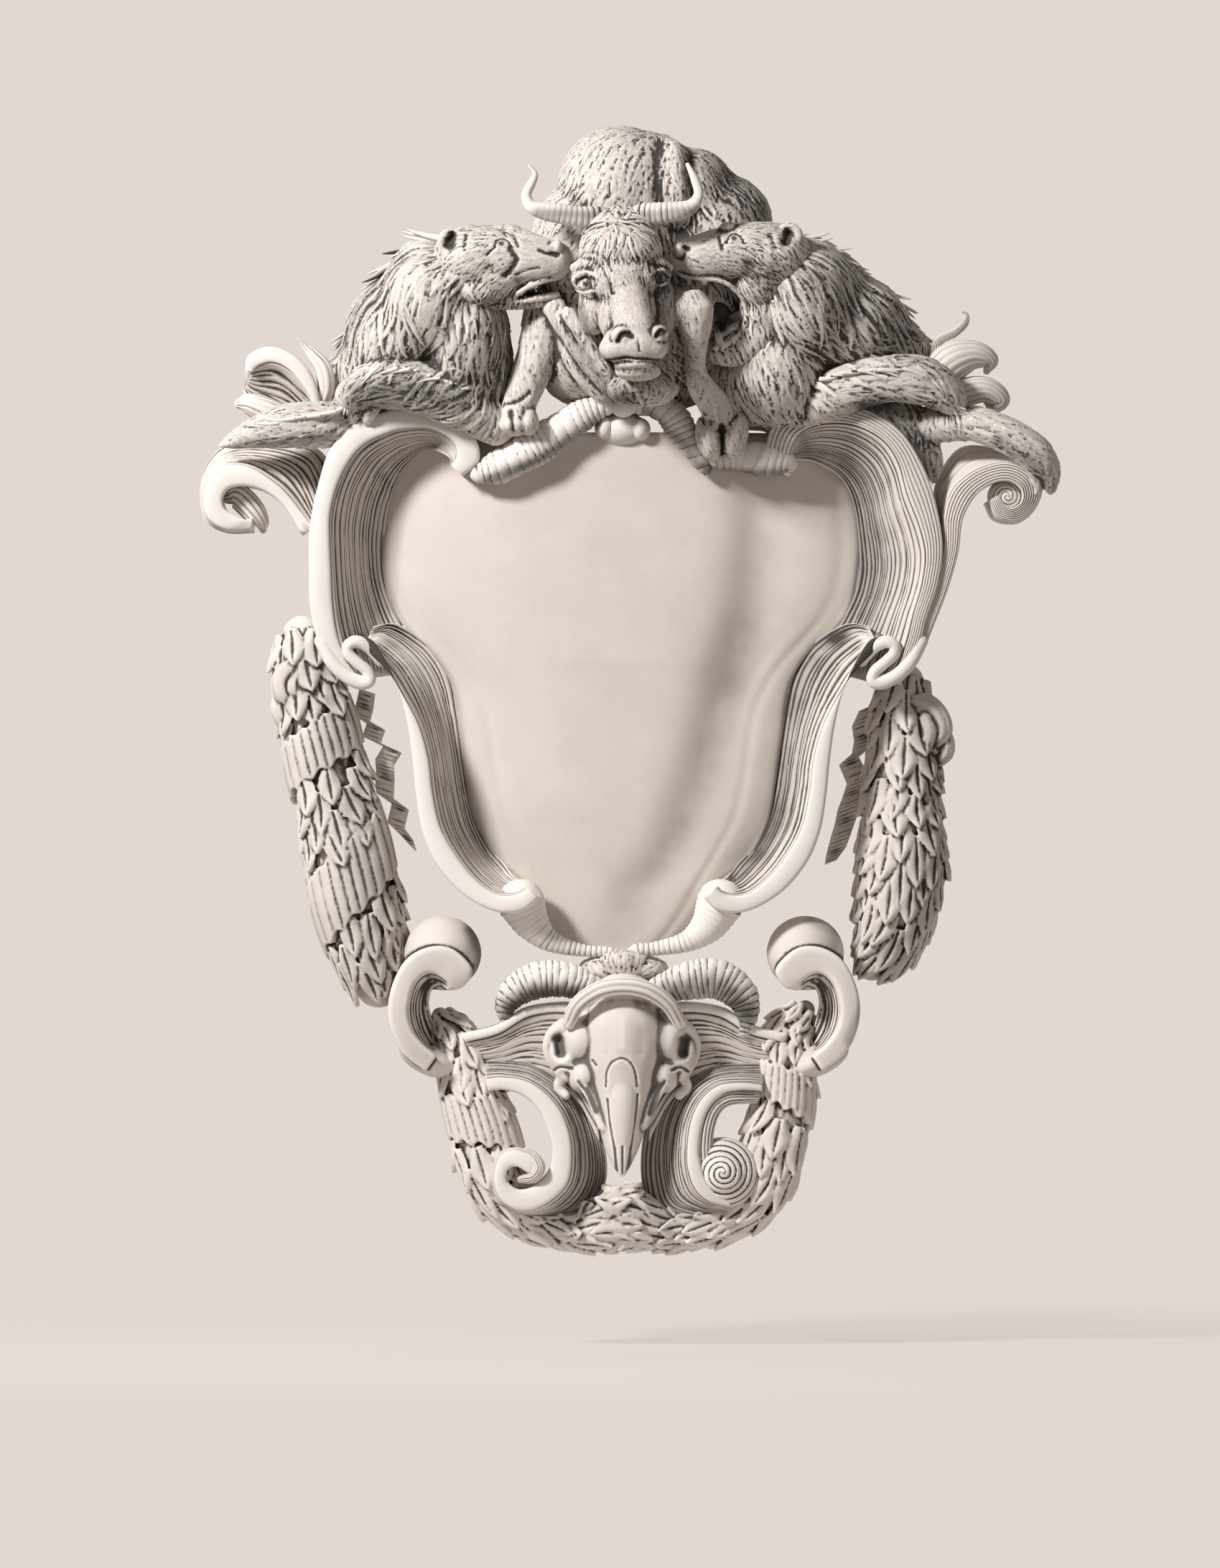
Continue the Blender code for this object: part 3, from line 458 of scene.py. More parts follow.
def strap(stations, flutes=9, count=150, seed=1, depth=4.4, back=0.4, lines=0, calm=0.0):
    """A leathery strap seen on edge. Each station gives the outer edge and the inner edge of its rim, the
    foot of its fluted face, and how far rim and foot stand out: (x, y, x, y, x, y, rim_out, foot_out)."""
    s = smooth(stations, count)
    edge, rim, foot, rim_out, foot_out = s[:, 0:2], s[:, 2:4], s[:, 4:6], s[:, 6], s[:, 7]

    def column(xy, out):
        return np.stack([(xy[:, 0] - MIDDLE) * MM, -out * MM, (ORIGIN_DOWN - xy[:, 1]) * MM], axis=1)

    steps = flutes * FLUTE_STEPS
    u = np.linspace(0.0, 1.0, steps)
    fall = (1 - u) ** 2 * (1 - 0.25 * u)
    face = []
    for share, height in zip(u, fall):
        inward = rim + (foot - rim) * (0.03 + 0.97 * share)
        face.append(column(inward, foot_out + (rim_out - LIP - foot_out) * height))
    face = np.stack(face, axis=1)
    outward = unit(np.cross(np.gradient(face, axis=1), np.gradient(face, axis=0)))
    outward *= np.where(np.mean(outward[..., 1]) > 0, -1, 1)
    face = face + outward * flutes_of(count, flutes, steps, seed, depth, calm)[..., None] * MM
    rows = [column(edge, 0 * rim_out + back), column(edge, 0.5 * rim_out)]
    rows += [column(edge + (rim - edge) * share, rim_out + rise) for share, rise in rim_of(lines)]
    rows += [face[:, i] for i in range(steps)]
    rows += [column(foot, 0.5 * foot_out), column(foot, 0 * foot_out + back)]
    return loft(np.stack(rows, axis=1))


UPPER_STRAP = [
    (644, 663, 629, 650, 627, 645, 118, 112),
    (667, 643, 636, 637, 625, 637, 122, 112),
    (664, 614, 634, 621, 612, 629, 126, 100),
    (642, 589, 620, 607, 597, 626, 130, 86),
    (603, 574, 594, 597, 580, 633, 134, 74),
    (560, 570, 558, 599, 566, 646, 138, 66),
    (530, 576, 536, 606, 558, 656, 139, 62),
    (506, 584, 514, 616, 552, 668, 140, 60),
    (485, 597, 497, 630, 547, 680, 142, 56),
    (469, 614, 484, 648, 543, 694, 142, 55),
    (456, 636, 473, 670, 539, 708, 143, 54),
    (446, 668, 465, 694, 536, 728, 144, 52),
    (436, 710, 460, 722, 534, 752, 144, 50),
    (431, 750, 460, 752, 534, 776, 144, 50),
    (431, 800, 462, 800, 537, 806, 142, 50),
    (432, 842, 464, 842, 549, 842, 138, 50),
    (440, 884, 470, 884, 566, 876, 134, 50),
    (460, 924, 481, 916, 580, 905, 128, 48),
    (488, 948, 496, 938, 575, 935, 122, 48),
]
UPPER_STRAP_RIGHT = [
    (1100, 664, 1103, 652, 1105, 645, 118, 112),
    (1074, 650, 1099, 641, 1104, 640, 122, 112),
    (1067, 620, 1103, 622, 1110, 640, 126, 102),
    (1080, 588, 1118, 602, 1132, 642, 130, 88),
    (1115, 568, 1150, 591, 1160, 656, 136, 76),
    (1160, 562, 1190, 594, 1177, 672, 140, 66),
    (1210, 573, 1228, 614, 1188, 695, 142, 60),
    (1255, 603, 1250, 645, 1194, 722, 143, 56),
    (1285, 650, 1263, 690, 1197, 750, 144, 54),
    (1302, 700, 1280, 735, 1198, 775, 144, 52),
    (1312, 760, 1288, 772, 1197, 800, 144, 50),
    (1305, 815, 1284, 812, 1190, 830, 142, 50),
    (1290, 860, 1272, 855, 1175, 862, 138, 50),
    (1280, 900, 1262, 895, 1160, 885, 134, 50),
    (1262, 935, 1250, 925, 1155, 905, 128, 48),
    (1240, 957, 1236, 942, 1160, 935, 122, 48),
]
LOWER_STRAP = [
    (492, 889, 504, 906, 520, 872, 120, 84),
    (500, 887, 510, 905, 548, 868, 128, 70),
    (520, 893, 520, 915, 582, 884, 134, 56),
    (541, 926, 540, 935, 610, 908, 138, 50),
    (557, 965, 560, 965, 630, 945, 141, 48),
    (568, 1010, 583, 1008, 640, 1000, 143, 47),
    (575, 1060, 597, 1056, 647, 1052, 144, 46),
    (580, 1110, 603, 1104, 655, 1104, 144, 46),
    (589, 1160, 614, 1152, 666, 1146, 144, 46),
    (609, 1205, 636, 1192, 684, 1182, 144, 48),
    (645, 1245, 664, 1226, 702, 1203, 144, 54),
    (690, 1269, 692, 1245, 712, 1217, 146, 64),
    (728, 1268, 718, 1246, 716, 1222, 148, 80),
    (751, 1250, 735, 1237, 722, 1226, 150, 96),
]
HOOK = [
    (448, 893, 126, 10), (463, 922, 126, 10), (482, 941, 125, 10), (503, 951, 124, 10), (515, 948, 125, 9),
    (512, 935, 127, 8), (498, 923, 129, 8), (486, 911, 130, 8), (485, 900, 131, 8), (497, 894, 130, 9),
    (514, 903, 126, 8), (530, 922, 118, 7),
]
EAR_LEFT = [
    (420, 744, 440, 740, 462, 716, 130, 70),
    (396, 706, 402, 690, 460, 655, 132, 66),
    (371, 686, 376, 667, 438, 622, 134, 64),
    (345, 678, 345, 650, 376, 612, 136, 62),
    (321, 681, 310, 650, 312, 620, 136, 62),
    (311, 694, 290, 670, 281, 656, 134, 60),
    (314, 709, 284, 696, 277, 692, 132, 62),
    (328, 718, 290, 722, 286, 726, 130, 74),
    (342, 724, 315, 738, 314, 741, 128, 90),
    (352, 722, 352, 738, 352, 741, 122, 96),
]
EAR_LEFT_HOLLOW = [
    (318, 692, 86, 10), (330, 690, 90, 17), (344, 702, 90, 18), (356, 716, 88, 16), (364, 728, 84, 11),
    (366, 738, 80, 5),
]
EAR_RIGHT_VOLUTE = (1402, 692, 88, 27, 25, 36)
EAR_RIGHT = [
    (1252, 955, 1245, 945, 1240, 940, 112, 100),
    (1282, 915, 1272, 905, 1262, 900, 124, 100),
    (1300, 872, 1284, 866, 1274, 862, 130, 100),
    (1320, 820, 1302, 814, 1290, 812, 134, 100),
    (1334, 770, 1314, 764, 1300, 762, 136, 96),
    (1340, 725, 1314, 718, 1302, 716, 138, 90),
    (1356, 694, 1328, 680, 1306, 668, 138, 84),
    (1378, 676, 1362, 654, 1340, 622, 138, 78),
    (1402, 671, 1402, 645, 1404, 628, 138, 76),
    (1420, 682, 1436, 661, 1450, 655, 136, 80),
    (1421, 699, 1444, 696, 1448, 698, 132, 90),
    (1407, 708, 1420, 724, 1422, 727, 128, 100),
    (1396, 700, 1388, 720, 1386, 724, 124, 106),
    (1392, 688, 1376, 698, 1372, 700, 122, 108),
]


def strapwork():
    lower_right = mirrored(LOWER_STRAP)
    hook = tube(HOOK, sides=14, flat=0.9, count=70)
    hook_right = tube([(2 * MIDDLE - x, y, out, r) for x, y, out, r in HOOK], sides=14, flat=0.9, count=70)
    kidney = tube(EAR_LEFT_HOLLOW, sides=48, count=60, surface=grooved(12, 2.4))
    for name, forms in (
        ("strap_upper_left", [strap(UPPER_STRAP, 17, 220, seed=3, calm=0.6), hook]),
        ("strap_lower_left", [strap(LOWER_STRAP, 15, 180, seed=5, back=0.6, calm=0.2)]),
        ("strap_upper_right", [strap(UPPER_STRAP_RIGHT, 19, 190, seed=7, calm=0.7, lines=6), hook_right]),
        ("strap_lower_right", [strap(lower_right, 11, 180, seed=11, back=0.6, depth=2.6, calm=0.5)]),
        ("ear_scroll_left", [strap(EAR_LEFT, 12, 130, seed=13, back=0.8, depth=5), kidney]),
        ("ear_scroll_right", [strap(EAR_RIGHT, 6, 170, seed=17, back=0.8, depth=1.6, lines=7)]),
    ):
        mesh = joined(forms, name)
        # Painted shade: the right-hand straps, turned from the light, are darkened far more than the
        # left-hand ones
        paint_soot_and_shade(mesh, shade_by_depth=(52, 120, 0.06 if name.endswith("left") else 0.5))
        finish_piece(mesh, name, fluted_stone)
    volute = skin([ball(*EAR_RIGHT_VOLUTE)], "volute", 1.5, 2)
    spiralled(volute, *EAR_RIGHT_VOLUTE[:2], 30, 5.5, 2.4)
    paint_soot_and_shade(volute, shade_by_depth=(60, 130, 0.4))
    finish_piece(volute, "ear_volute_right", fluted_stone)


# Shield

FIELD_EDGE = 50
FIELD_BULGE = 44
FIELD_VALLEY = 15
FIELD_LEFT = [
    (600, 600), (556, 650), (536, 700), (530, 750), (534, 810), (552, 860), (596, 905), (628, 955),
    (638, 1020), (646, 1080), (658, 1140), (686, 1190), (712, 1215), (738, 1240), (752, 1285), (790, 1318),
    (850, 1338),
]
FIELD_RIGHT = [
    (1120, 600), (1168, 650), (1190, 700), (1198, 750), (1194, 810), (1178, 860), (1130, 905), (1100, 955),
    (1090, 1020), (1082, 1080), (1072, 1140), (1048, 1190), (1018, 1215), (992, 1240), (978, 1285),
    (940, 1318), (880, 1338),
]
FIELD_VALLEY_LINE = [
    (1062, 600), (1058, 740), (1045, 830), (1015, 940), (978, 1070), (935, 1180), (880, 1255), (868, 1338),
]


def border(points, y):
    """How far right a border stands at each height y, smoothly through its points."""
    line = smooth(points, 300)
    return np.interp(y, line[:, 1], line[:, 0])


def shield():
    """The pillow: a flat margin, a shallow quirk, the swell, and a valley down its right side."""
    heights = np.linspace(602, 1336, 120)
    left, right, valley = (border(line, heights) for line in (FIELD_LEFT, FIELD_RIGHT, FIELD_VALLEY_LINE))
    hill = np.hanning(31) / np.hanning(31).sum()
    soft_left, soft_right = (np.convolve(np.pad(line, 15, "edge"), hill, "valid") for line in (left, right))
    rows = []
    for y, start, end, low, near, far in zip(heights, left, right, valley, soft_left, soft_right):
        half = (far - near) / 2
        x = np.linspace(start, end, 96)
        inward = np.clip(np.minimum(x - near, far - x), 0, None)
        swell = 1 - np.maximum(0.0, 1 - inward / (half * 0.9)) ** 2.2
        taper = min(1.0, half / 260)
        sides = np.where(x < low, (low - x) / 34, (x - low) / 58)
        dip = np.exp(-(sides**2)) * np.minimum(1.0, inward / 60) * taper
        margin = np.interp(y, [600, 860, 1000, 1180, 1340], [22, 24, 44, 46, 16])
        quirk = 1.8 * np.exp(-(((inward - margin) / 7) ** 2)) * min(1.0, half / 120)
        out = FIELD_EDGE + FIELD_BULGE * swell * taper - FIELD_VALLEY * dip - quirk
        face = [place(a, y, b) for a, b in zip(x, out)]
        rows.append([place(start, y, 0.2)] + face + [place(end, y, 0.2)])
    mesh = joined([loft(rows)], "shield")
    at = drawn(coordinates(mesh))
    # Painted shade: a stripe down the valley, strongest halfway down, and a line along the rim
    down = np.interp(at[:, 1], [640, 760, 900, 1150, 1260, 1330], [0.0, 0.35, 0.55, 0.5, 0.4, 0.1])
    start, low, end = (np.interp(at[:, 1], heights, line) for line in (left, valley, right))
    beside = at[:, 0] - low
    rim = np.minimum(at[:, 0] - start, end - at[:, 0])
    painted_shade = 0.85 * down * np.exp(-(np.where(beside < 0, beside / 26, beside / 40) ** 2))
    painted_shade += 0.5 * np.exp(-((rim / 10) ** 2))
    note(mesh, "hollow", np.clip(painted_shade, 0, 1) * (at[:, 2] > CLEAN_BACK))
    note(mesh, "proud", np.zeros(len(at)))
    finish_piece(mesh, "shield", rubbed_stone, kept=1)


# The foot: two big scrolls, two C-scrolls, the cape between them, and the two tails of the frame

BIG_SCROLL = [
    (626, 1380, 621, 1377, 619, 1375, 122, 118),
    (646, 1374, 624, 1374, 617, 1374, 129, 118),
    (658, 1350, 621, 1366, 614, 1372, 135, 116),
    (632, 1322, 606, 1356, 606, 1374, 138, 104),
    (600, 1318, 592, 1356, 600, 1380, 140, 90),
    (568, 1334, 577, 1370, 597, 1390, 142, 76),
    (549, 1365, 569, 1395, 596, 1402, 142, 66),
    (541, 1400, 568, 1415, 600, 1418, 140, 60),
    (545, 1435, 575, 1437, 606, 1435, 136, 56),
    (562, 1468, 590, 1456, 612, 1452, 130, 54),
    (592, 1492, 608, 1470, 620, 1466, 122, 54),
]
BIG_SCROLL_TOP = (616, 1328, 66, 54, 52, 68)
BIG_SCROLL_LOBE = (596, 1476, 60, 44, 22, 46, 25)
FOOT_SCROLL = [
    (680, 1520, 676, 1502, 672, 1460, 112, 66),
    (702, 1518, 700, 1500, 702, 1464, 114, 66),
    (728, 1526, 735, 1506, 745, 1470, 116, 66),
    (750, 1546, 766, 1528, 795, 1500, 118, 66),
    (764, 1578, 787, 1560, 824, 1545, 118, 64),
    (769, 1606, 796, 1602, 842, 1598, 118, 62),
    (762, 1634, 790, 1648, 843, 1650, 118, 60),
    (742, 1652, 760, 1677, 815, 1690, 120, 70),
    (722, 1656, 727, 1686, 740, 1694, 122, 96),
    (707, 1645, 699, 1672, 698, 1677, 124, 110),
    (706, 1632, 688, 1644, 685, 1646, 126, 116),
    (713, 1625, 695, 1612, 693, 1609, 128, 118),
    (722, 1625, 714, 1601, 714, 1598, 130, 120),
    (730, 1630, 740, 1608, 742, 1605, 130, 120),
    (736, 1634, 752, 1626, 756, 1624, 128, 118),
]
CAPE = [
    (640, 1440, 648, 1452, 664, 1502, 86, 70),
    (690, 1428, 694, 1440, 700, 1502, 90, 70),
    (730, 1404, 736, 1416, 748, 1502, 96, 72),
    (780, 1396, 782, 1410, 800, 1530, 102, 74),
    (820, 1400, 815, 1420, 835, 1590, 106, 78),
]
TAIL = [
    (726, 1258, 96, 34), (742, 1288, 92, 25), (768, 1312, 88, 15), (812, 1324, 86, 9), (850, 1326, 88, 7),
    (867, 1334, 88, 4),
]
TAIL_RIGHT = [
    (1003, 1258, 96, 34), (985, 1290, 92, 25), (955, 1312, 88, 15), (910, 1322, 86, 10), (885, 1324, 88, 9),
    (873, 1334, 88, 5),
]


def rings(spacing, depth):
    """Rings cut round a limb like those of a horn, spacing in metres and depth in millimetres."""

    def surface(length, angle):
        turn = length / spacing + 0 * angle
        return depth * (np.abs(np.sin(math.pi * turn)) ** 0.6 - 1)

    return surface


FOOT_SCROLL_RIGHT = [
    (1062, 1520, 1062, 1511, 1066, 1462, 108, 66),
    (1036, 1518, 1034, 1508, 1030, 1464, 112, 66),
    (1008, 1523, 1000, 1512, 984, 1470, 114, 66),
    (988, 1542, 976, 1532, 936, 1500, 116, 66),
    (977, 1570, 962, 1562, 907, 1545, 116, 64),
    (973, 1600, 957, 1598, 894, 1598, 116, 62),
    (976, 1622, 958, 1628, 894, 1650, 116, 62),
    (984, 1644, 968, 1656, 908, 1692, 114, 66),
    (998, 1656, 988, 1674, 950, 1702, 110, 70),
    (1015, 1658, 1018, 1682, 1000, 1700, 104, 74),
]
FOOT_INNER_BAND = [
    (1050, 1528, 92, 9), (1012, 1530, 98, 11), (990, 1550, 100, 12), (981, 1590, 100, 12),
    (984, 1630, 98, 12), (998, 1660, 94, 10),
]
FOOT_TONGUE = [
    (726, 1642, 112, 6), (742, 1638, 120, 9), (750, 1626, 124, 10), (744, 1612, 122, 8),
    (734, 1602, 116, 5),
]
FOOT_VOLUTE = [(1006, 1634, 88, 52, 50, 30), (1006, 1634, 106, 30, 29, 20), (1008, 1632, 118, 10, 10, 12)]


def grooved(number, depth):
    """Flutes along a limb, so many round it."""
    return lambda length, angle: depth * (np.abs(np.cos(angle * number / 2 + length * 4)) ** 0.6 - 1)


# Lines along which painted shade lies, on sides turned from the light: points, width, least distance out and
# how much
BIG_SCROLL_SHADE = [
    ([(654, 1296), (668, 1330), (664, 1356)], 11, 20, 0.6),
    ([(1188, 1320), (1204, 1380), (1180, 1450)], 9, 0, 0.5),
    ([(1128, 1282), (1168, 1300)], 10, 0, 0.3),
]


def foot():
    for side, turn in (("left", lambda s: s), ("right", lambda s: mirrored(s, shift=8))):
        x, *rest = BIG_SCROLL_TOP
        lobe_x, *lobe = BIG_SCROLL_LOBE
        if side == "right":
            x, lobe_x = 2 * MIDDLE - x + 8, 2 * MIDDLE - lobe_x + 8
            lobe = lobe[:5] + [-lobe[5]]
        forms = [strap(turn(BIG_SCROLL), 10, 140, seed=21, depth=4.6), ball(x, *rest), ball(lobe_x, *lobe)]
        mesh = skin(forms, "big_scroll_" + side, 1.7, 4, sawn=60)
        paint_soot_and_shade(mesh, shade_by_depth=(52, 116, 0.3), shade_lines=BIG_SCROLL_SHADE)
        finish_piece(mesh, "big_scroll_" + side, fluted_stone, KEPT_PLAIN)
        if side == "left":
            forms = [strap(FOOT_SCROLL, 14, 190, seed=23, back=0.6, depth=4.8)]
            forms += [tube(FOOT_TONGUE, sides=48, count=60, surface=grooved(14, 1.5))]
        else:
            volute = skin([ball(*form) for form in FOOT_VOLUTE], "volute", 1.6, 6)
            spiralled(volute, 1006, 1633, 52, 7.5, 2.6)
            paint_soot_and_shade(volute, shade_by_depth=(60, 125, 0.42))
            finish_piece(volute, "foot_volute_right", fluted_stone)
            forms = [strap(FOOT_SCROLL_RIGHT, 16, 230, seed=29, back=0.6, depth=4.8)]
            forms += [tube(FOOT_INNER_BAND, sides=64, count=110, surface=grooved(14, 2.4))]
        mesh = joined(forms, "foot_scroll_" + side)
        paint_soot_and_shade(mesh, shade_by_depth=(60, 140, 0.6))
        finish_piece(mesh, "foot_scroll_" + side, fluted_stone)
        mesh = joined([strap(turn(CAPE), 13, 80, seed=27, back=0.9, depth=1.5)], "cape_" + side)
        paint_soot_and_shade(mesh)
        finish_piece(mesh, "cape_" + side, fluted_stone)
    pleats = rings(0.0075, 1.6)
    tails = [tube(path, sides=32, count=150, surface=pleats) for path in (TAIL, TAIL_RIGHT)]
    mesh = joined(tails, "frame_tails")
    paint_soot_and_shade(mesh)
    finish_piece(mesh, "frame_tails", fluted_stone)


# Clay: forms joined under one skin, then carved


# How far from the wall a carved piece's back is cut, and how far behind it its forms may reach before, in
# millimetres
SAWN_BACK = 0.8
UNCUT_BACK = 30


def remeshed(mesh, name, grain):
    return changed(mesh, name, "REMESH", mode="VOXEL", voxel_size=grain * MM)


def skin(shapes, name, grain, rounds=6, features=(), feature_rounds=2, cavities=(), sawn=0):
    """One skin over all the shapes, its joins softened, with points about a grain apart; then the cavities
    are cut and the features put on. What faces the wall less than sawn from it goes back to it, as the
    block was sawn."""
    mesh = remeshed(joined(shapes, name, back=-UNCUT_BACK), name, grain)
    move_to(mesh, relaxed(coordinates(mesh), joints_of(mesh), rounds))
    co = coordinates(mesh)
    to_the_wall = (normals(mesh)[:, 1] > 0.25) & (co[:, 1] > -sawn * MM)
    co[to_the_wall, 1] = -SAWN_BACK * MM
    move_to(mesh, co)
    carved(mesh, cavities)
    if features:
        melted = bmesh.new()
        melted.from_mesh(mesh)
        mesh = remeshed(joined([melted, *features], name, back=-UNCUT_BACK), name, grain)
        move_to(mesh, relaxed(coordinates(mesh), joints_of(mesh), feature_rounds))
    co = coordinates(mesh)
    co[:, 1] = np.minimum(co[:, 1], -SAWN_BACK * MM)
    move_to(mesh, co)
    return mesh


def shapes_of(forms, **settings):
    """The limb or the ball that each form describes: a limb where it is a list of places."""
    return [tube(form, **settings) if isinstance(form[0], tuple) else ball(*form) for form in forms]


def drawn(co):
    """Places as the drawing has them: x and y, and the distance out."""
    return np.stack([co[:, 0] / MM + MIDDLE, ORIGIN_DOWN - co[:, 2] / MM, -co[:, 1] / MM], axis=1)


def distance_to(line, points):
    """How far points of the drawing are from a line through others."""
    line = smooth(np.asarray(line, float), 4 * len(line)) if len(line) > 2 else np.asarray(line, float)
    best = np.full(len(points), 1e9)
    for a, b in zip(line[:-1], line[1:]):
        step = b - a
        share = np.clip(((points - a) @ step) / (step @ step + 1e-9), 0, 1)
        best = np.minimum(best, np.linalg.norm(points - a - share[:, None] * step, axis=1))
    return best


def carved(mesh, strokes):
    """Cuts or raises lines of the drawing on whatever faces the viewer: (points, width, depth, least_out),
    where a depth below nought cuts."""
    co = coordinates(mesh)
    for points, width, depth, least_out in strokes:
        at = drawn(co)
        facing = np.clip(-normals(mesh)[:, 1] * 1.6, 0, 1)
        line = [points[0], (points[0][0] + 0.01, points[0][1])] if len(points) == 1 else points
        near = np.abs(at[:, 0] - np.mean([p[0] for p in line])) < 400
        share = np.zeros(len(co))
        share[near] = np.exp(-((distance_to(line, at[near, :2]) / width) ** 2))
        share *= facing * (at[:, 2] > least_out)
        co[:, 1] -= depth * MM * share
        move_to(mesh, co)


# How many locks lie over each other at any place
LOCKS_DEEP = 2.6


def combed(mesh, guides, seed, spacing):
    """Dresses a skin in overlapping locks. Guides are (x, y, out, right, down, outward, length, width,
    height): near each of them locks run that way and are that long, wide and high. Returns how far the
    locks stand out and, for each point, where in its lock it lies."""
    dice = np.random.default_rng(seed)
    co, no = coordinates(mesh), normals(mesh)
    guides = np.asarray(guides, float)
    spots = np.array([place(*g[:3]) for g in guides])
    ways = np.stack([guides[:, 3], -guides[:, 5], -guides[:, 4]], axis=1)
    order = dice.permutation(len(co))
    cells = np.floor((co[order] + dice.random(3) * spacing * MM) / (spacing * MM)).astype(np.int64)
    _, first = np.unique(cells @ np.array([73856093, 19349663, 83492791]), return_index=True)
    roots = order[first]
    roots = roots[no[roots, 1] < 0.75]
    gap = ((co[roots][:, None] - spots[None]) ** 2).sum(axis=2)
    weight = 1 / (gap + 0.012**2) ** 2
    weight /= weight.sum(axis=1, keepdims=True)
    way = weight @ unit(ways) + dice.normal(0, 0.16, (len(roots), 3))
    way -= np.einsum("ij,ij->i", way, no[roots])[:, None] * no[roots]
    way = unit(way)
    across = np.cross(no[roots], way)
    sizes = weight @ guides[:, 6:9] * dice.uniform(0.75, 1.3, (len(roots), 1))
    kept = dice.random(len(roots)) < LOCKS_DEEP * spacing**2 / (0.6 * sizes[:, 0] * sizes[:, 1])
    roots, way, across, sizes = roots[kept], way[kept], across[kept], sizes[kept]
    bend = dice.uniform(-1, 1, len(roots))
    level = dice.uniform(0.3, 1.0, len(roots))
    tree = KDTree(len(co))
    for i, point in enumerate(co):
        tree.insert(point, i)
    tree.balance()
    height = np.zeros(len(co))
    lock = np.zeros((len(co), 3))
    for k, root in enumerate(roots):
        length, width, high = sizes[k] * MM
        if high < 0.00015:
            continue
        centre = co[root] + way[k] * length * 0.5
        found = np.array([i for _, i, _ in tree.find_range(centre, length * 0.56 + width * 0.5)])
        if not len(found):
            continue
        apart = co[found] - co[root]
        a = (apart @ way[k]) / length
        c = apart @ across[k] - bend[k] * width * np.sin(math.pi * np.clip(a, 0, 1)) * 0.6
        t = np.clip(a, 0, 1)
        half = width * (1 - t**2.2) * 0.5 + 1e-6
        inside = (a > 0) & (a < 1) & (np.abs(c) < half) & (no[found] @ no[root] > 0.1)
        rise = high * level[k] * (0.35 + 0.65 * t) * np.sqrt(np.clip(1 - (c / half) ** 2, 0, 1))
        better = inside & (rise > height[found])
        chosen = found[better]
        height[chosen] = rise[better]
        mark = np.full(better.sum(), dice.random())
        lock[chosen] = np.stack([c[better], a[better] * length, mark], axis=1)
    return height, lock


def grow(mesh, height, base=0.35):
    """Raises a skin by its locks' height, sinking what lies between them."""
    co = coordinates(mesh)
    co += normals(mesh) * (height - base * np.percentile(height, 90))[:, None]
    co[:, 1] = np.minimum(co[:, 1], -SAWN_BACK * MM)
    move_to(mesh, co)


def spiralled(mesh, x, y, radius, spacing, depth):
    """Cuts a spiral of flutes into a volute's face about x and y."""
    co = coordinates(mesh)
    at = drawn(co)
    right, down = at[:, 0] - x, at[:, 1] - y
    away = np.hypot(right, down)
    turns = away / spacing + np.arctan2(down, right) / (2 * math.pi) * 2
    wave = np.abs(np.cos(math.pi * turns)) ** 0.6 - 1
    facing = np.clip(-normals(mesh)[:, 1] * 2, 0, 1) * np.clip((radius - away) / 4, 0, 1)
    co[:, 1] -= depth * MM * wave * facing
    move_to(mesh, co)


# The bull

BULL_BODY = [
    (862, 262, 96, 86, 88, 96), (905, 268, 92, 70, 86, 92), (944, 258, 136, 20, 66, 48, -6),
    (1000, 308, 80, 76, 68, 78), (966, 262, 84, 56, 56, 84), (925, 420, 85, 130, 120, 92),
    (800, 350, 95, 62, 95, 100), (800, 470, 80, 60, 90, 86), (880, 520, 60, 130, 60, 66),
    (975, 300, 72, 82, 66, 72), (895, 545, 190, 52, 22, 60),
]
BULL_HEAD = [
    (862, 322, 222, 52, 30, 44), (864, 354, 236, 58, 44, 48), (867, 392, 246, 50, 42, 40),
    (884, 486, 276, 47, 31, 40), (872, 440, 248, 41, 52, 36), (858, 492, 288, 25, 18, 24),
    (908, 490, 286, 23, 18, 24), (832, 424, 214, 26, 48, 42, 10), (920, 426, 208, 21, 46, 40, -10),
    (820, 392, 240, 24, 24, 22), (914, 388, 236, 20, 22, 22), (888, 522, 258, 33, 14, 37),
]
BULL_NOSE = [(866, 358, 254, 30), (871, 395, 264, 28), (877, 428, 276, 27), (883, 460, 288, 29)]
BULL_FEATURES = [
    (816, 402, 256, 8, 8, 8), (918, 394, 249, 7, 7, 8), (866, 475, 302, 16, 14, 15),
    (918, 472, 298, 13, 13, 14), (884, 514, 269, 29, 9, 34),
]
BULL_LIDS = [
    [(799, 398, 255, 3), (806, 390, 262, 4), (817, 387, 266, 4), (828, 392, 266, 4), (834, 404, 262, 3)],
    [(803, 410, 261, 2), (814, 414, 264, 3), (827, 411, 264, 3)],
    [(906, 397, 258, 3), (911, 387, 259, 3), (921, 384, 256, 4), (930, 391, 249, 3)],
    [(910, 401, 257, 2), (919, 404, 256, 2), (928, 401, 251, 2)],
    [(800, 378, 246, 6), (816, 372, 254, 7), (832, 377, 258, 7), (842, 390, 260, 6)],
    [(904, 374, 252, 5), (918, 371, 250, 6), (932, 378, 240, 5)],
]
